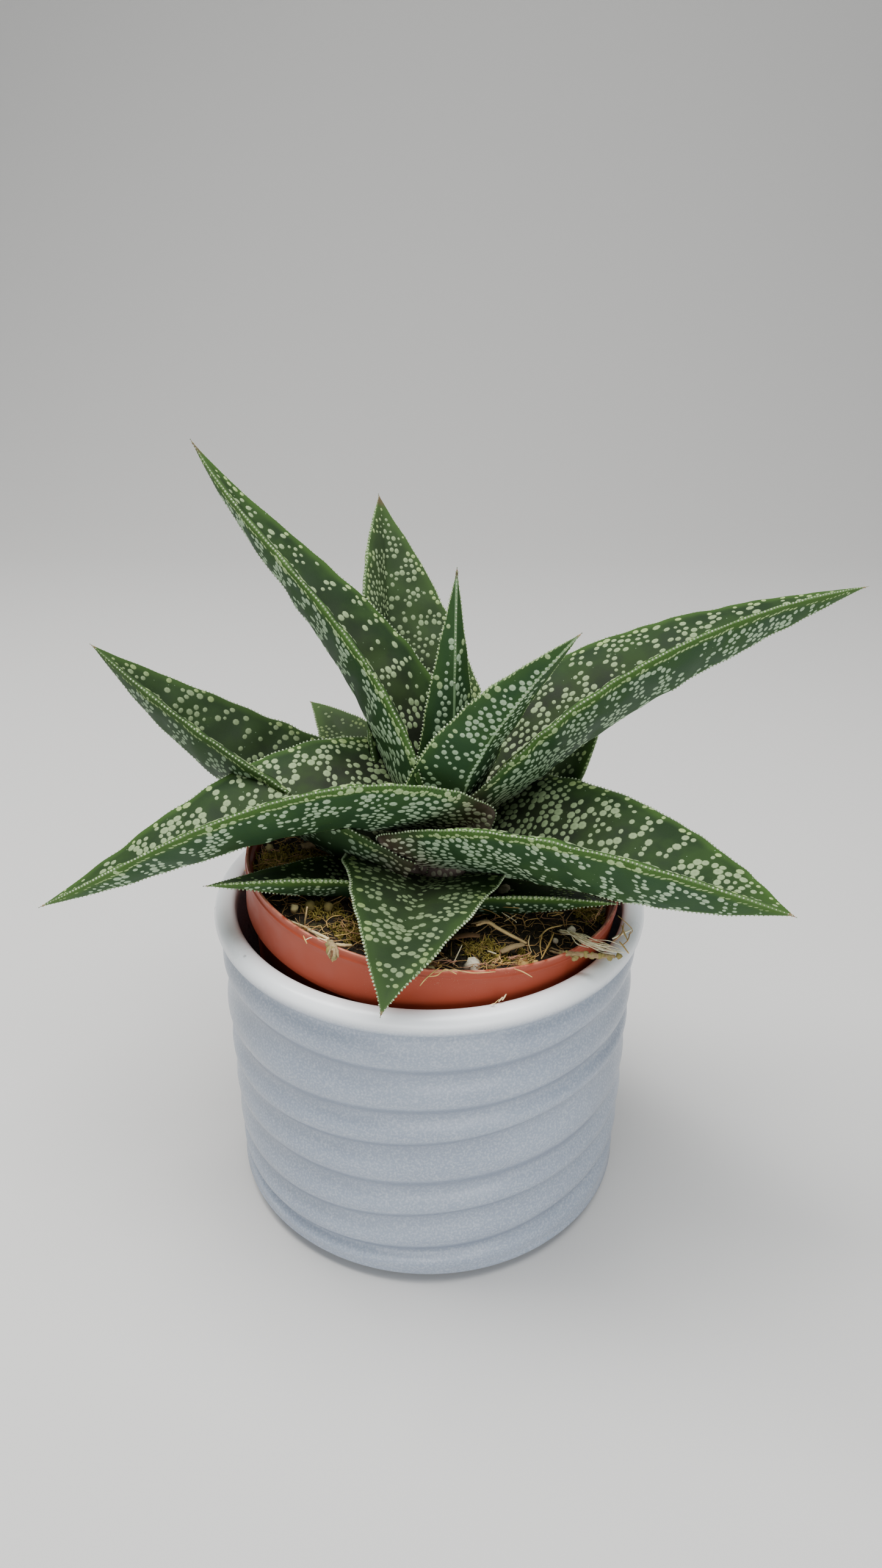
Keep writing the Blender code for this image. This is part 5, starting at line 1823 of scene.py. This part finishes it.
# %% Flakes and lumps
FLAKES = {
    "orange_bark": ((743, 1536, 2.4), (765, 1532, 3.0), (785, 1533, 2.6)),
    "curled_tan": ((820, 1560, 2.6), (838, 1552, 3.6), (858, 1547, 4.0)),
    "tip_of_stick": ((772, 1513, 3.0), (790, 1509, 4.6), (801, 1508, 4.6)),
}
FLAKE_WIDTHS = {"orange_bark": 1.7, "curled_tan": 1.5, "tip_of_stick": 0.9}
LUMPS = {
    "cork": (774, 1584, 3.0, 2.5),
    "yellow": (442, 1389, 4.0, 1.5),
    "back": (827, 1459, 2.5, 2.1),
    "olive_two": (806, 1585, 2.5, 1.1),
    "tan_one": (705, 1588, 5.0, 1.3),
    "head_of_bundle": (936, 1524, 6.0, 1.3),
    "pale_one": (910, 1541, 3.0, 0.9),
    "pale_two": (482, 1489, 4.0, 1.3),
    "pale_three": (561, 1562, 3.4, 1.2),
    "mossy_one": (508, 1484, 2.2, 2.0),
    "clump_one": (541, 1548, 7.2, 1.3),
    "clump_two": (543, 1557, 7.8, 1.5),
    "clump_three": (545, 1567, 7.6, 1.2),
    "mossy_two": (538, 1486, 2.4, 1.6),
}
MOSS_CLUMPS = 14
LUMP_TINTS = {"cork": 0.85, "yellow": 0.35, "back": 0.6, "head_of_bundle": 1.0}
LUMP_TINTS |= {"pale_one": 0.9, "tan_one": 0.4, "mossy_one": 0.05, "mossy_two": 0.2}
LUMP_TINTS |= {"clump_one": 0.3, "clump_two": 0.15, "clump_three": 0.35}


def lump(heap, centre, size, tint):
    """Puts a rough lump of eighty faces."""
    shape = bmesh.new()
    bmesh.ops.create_icosphere(shape, subdivisions=2, radius=1)
    seed = rng.uniform(0, 50)
    points = []
    for v in shape.verts:
        coarse = noise.noise(v.co * 1.3 + Vector((seed, 0, 0)))
        fine = noise.noise(v.co * 4 + Vector((0, seed, 0)))
        swell = 1 + 0.45 * coarse + 0.24 * fine
        points.append(np.array(centre) + np.array(v.co * size * swell))
    heap.put(points, [[v.index for v in f.verts] for f in shape.faces], tint)
    shape.free()


for name, knots in FLAKES.items():
    tint = 0.42 if name == "orange_bark" else 0.8
    lay(sticks, seen(knots), FLAKE_WIDTHS[name], 0.6 * FLAKE_WIDTHS[name], tint, 0.3, 0.12, 8)
lumps = Heap()
for name, (column, row, lift, size) in LUMPS.items():
    lump(lumps, on_soil(column, row, lift), size, LUMP_TINTS.get(name, rng.uniform(0.1, 0.4)))
lump(straws, on_soil(857, 1580, 3.0), 1.7, 0.15)
lump(straws, on_soil(877, 1577, 3.4), 0.9, 0.3)
for place in smooth_path(seen(STICKS["mossy_right"]), MOSS_CLUMPS):
    lump(lumps, place + rng.normal(0, 0.5, 3), rng.uniform(0.5, 1.0), rng.uniform(0.1, 0.35))
print("Flakes and lumps:", len(FLAKES) + len(LUMPS))

# %% Where the bundle and the roots lie
BUNDLE = (
    (918, 1528, 4.0),
    (936, 1530, 6.2),
    (952, 1538, 7.6),
    (967, 1546, 8.6),
    (990, 1552, 9.2),
    (1011, 1557, 9.2),
)
BUNDLE_STRANDS = 34
CLUMP_STRANDS = 5
RIM_ROOTS = {
    "front_left": ((688, 1615, 3.5), (697, 1604, 6.0), (712, 1591, 7.0), (724, 1583, 5.0)),
    "front_long": ((712, 1594, 6.8), (742, 1589, 7.0), (775, 1594, 7.2), (812, 1592, 7.2)),
    "front_right": ((836, 1585, 5.0), (856, 1592, 6.8), (872, 1601, 7.0)),
    "front_curl": ((700, 1600, 6.6), (716, 1598, 7.4), (730, 1588, 6.4), (748, 1596, 6.9)),
    "right_stray": ((1012, 1500, 9.0), (1026, 1512, 9.6), (1036, 1524, 9.0), (1030, 1532, 9.4)),
    "right_stub": ((1003, 1544, 8.4), (1018, 1530, 9.8), (1022, 1513, 10.2)),
    "right_end": ((1018, 1550, 8.6), (1028, 1541, 9.4), (1033, 1526, 9.4)),
    "left_hook": ((540, 1550, 7.6), (545, 1566, 8.0), (545, 1576, 6.2)),
    "left_rim": ((497, 1533, 6.8), (500, 1540, 7.4), (503, 1546, 6.6)),
}
TANGLES = {
    "right_back": (1012, 1497, 6.5, 3.0, 14),
    "front_left": (722, 1591, 5.5, 2.6, 12),
    "front_middle": (820, 1586, 5.0, 3.4, 16),
    "front_right": (866, 1582, 5.0, 3.0, 12),
    "left": (512, 1527, 3.5, 3.4, 10),
    "left_inner": (566, 1524, 4.0, 3.2, 10),
    "left_back": (455, 1408, 3.5, 4.5, 12),
    "middle": (846, 1495, 3.0, 5.0, 12),
}
print("Roots:", len(RIM_ROOTS) + sum(row[-1] for row in TANGLES.values()))


# %% Frayed bundle and fine roots
def stray(heap, start, reach, radius, tint):
    """Puts a thin root that wanders from its start, over the peat and inside the rim."""
    knots = []
    for _ in range(4):
        low = upright @ Vector(start)
        inwards = min(1, (SOIL_EDGE - 1) / math.hypot(low.x, low.y))
        low = Vector((low.x * inwards, low.y * inwards, low.z))
        low.z = min(max(low.z, ground_height(low.x, low.y) + 0.4), INNER_HEIGHT + 1)
        knots.append(inner_place @ low)
        start = np.array(start) + rng.normal(0, reach * 0.6, 3) * (1, 1, 0.45)
    heap.put(*tube(smooth_path(knots, 9), np.linspace(radius, 0.5 * radius, 9), 4), tint)


for _ in range(BUNDLE_STRANDS):
    side = rng.normal(0, 1, 3)
    first = rng.integers(0, 2)
    last = len(BUNDLE) - rng.integers(0, 3)
    knots = []
    for i, place in enumerate(seen(BUNDLE[first:last])):
        spread = 0.45 + 0.3 * i + rng.uniform(-0.3, 0.3)
        aside = np.array(place) + side * spread * (0.7, 1.0, 0.35)
        knots.append(aside + rng.normal(0, 0.32, 3) + (0, 0, 0.3))
    lay(straws, knots, rng.uniform(0.1, 0.22), 0.07, rng.uniform(0.55, 1.1), 0.7, 0.25, 5)
for _ in range(CLUMP_STRANDS):
    side = rng.normal(0, 0.8, 3)
    knots = [np.array(place) + side * (0.5 + 0.4 * i) for i, place in enumerate(seen(STICKS["lump_left"]))]
    lay(sticks, knots, rng.uniform(0.25, 0.5), 0.12, rng.uniform(0.2, 1.0), 0.7, 0.2, 5)
roots = Heap()
for knots in RIM_ROOTS.values():
    lay(roots, seen(knots), rng.uniform(0.12, 0.24), 0.09, rng.uniform(0.4, 1.0), 1.0, 0.05, 5)
for column, row, lift, reach, count in TANGLES.values():
    for _ in range(count):
        start = np.array(on_soil(column, row, lift)) + rng.normal(0, reach, 3) * (1.3, 0.7, 0.2)
        stray(roots, start, reach, rng.uniform(0.1, 0.2), rng.uniform(0, 1))
print("Faces in the roots:", len(roots.faces))

# %% Lay them on the peat
scattered += [
    make_object("loose_straws", straws.mesh("loose straws"), straw_material),
    make_object("bark_and_sticks", sticks.mesh("bark and sticks"), bark_material),
    make_object("pale_lumps", lumps.mesh("pale lumps"), lump_material),
    make_object("fine_roots", roots.mesh("fine roots"), fibre_material),
]
for made in scattered[-4:]:
    print(made.name, "faces:", len(made.data.polygons))

# %% Join the peat and its litter to the frame
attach(ground, "root")
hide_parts("soil")
for made in scattered:
    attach(made, "root")
print("Pieces on the peat:", len(scattered))

# %% [markdown]
# ## The stem
#
# The short stem is hidden by the leaves that clasp it, so its plain solid from the frame stays and only
# gets a corky finish.

# %% Stem
STEM_CORK = srgb(120, 104, 76)
STEM_DARK = srgb(72, 62, 46)
stem_material, tree, shader = new_material("corky stem", roughness=0.85)
cork = mix(tree, ramp(tree, noise_value(tree, 260, 4), 0.35, 0.65), STEM_CORK, STEM_DARK)
tree.links.new(cork, shader.inputs["Base Color"])
add_bump(tree, shader, noise_value(tree, 500, 3), 0.6, 0.0005)
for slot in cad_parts["stem"].material_slots:
    slot.material = stem_material
print("Stem slots:", len(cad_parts["stem"].material_slots))
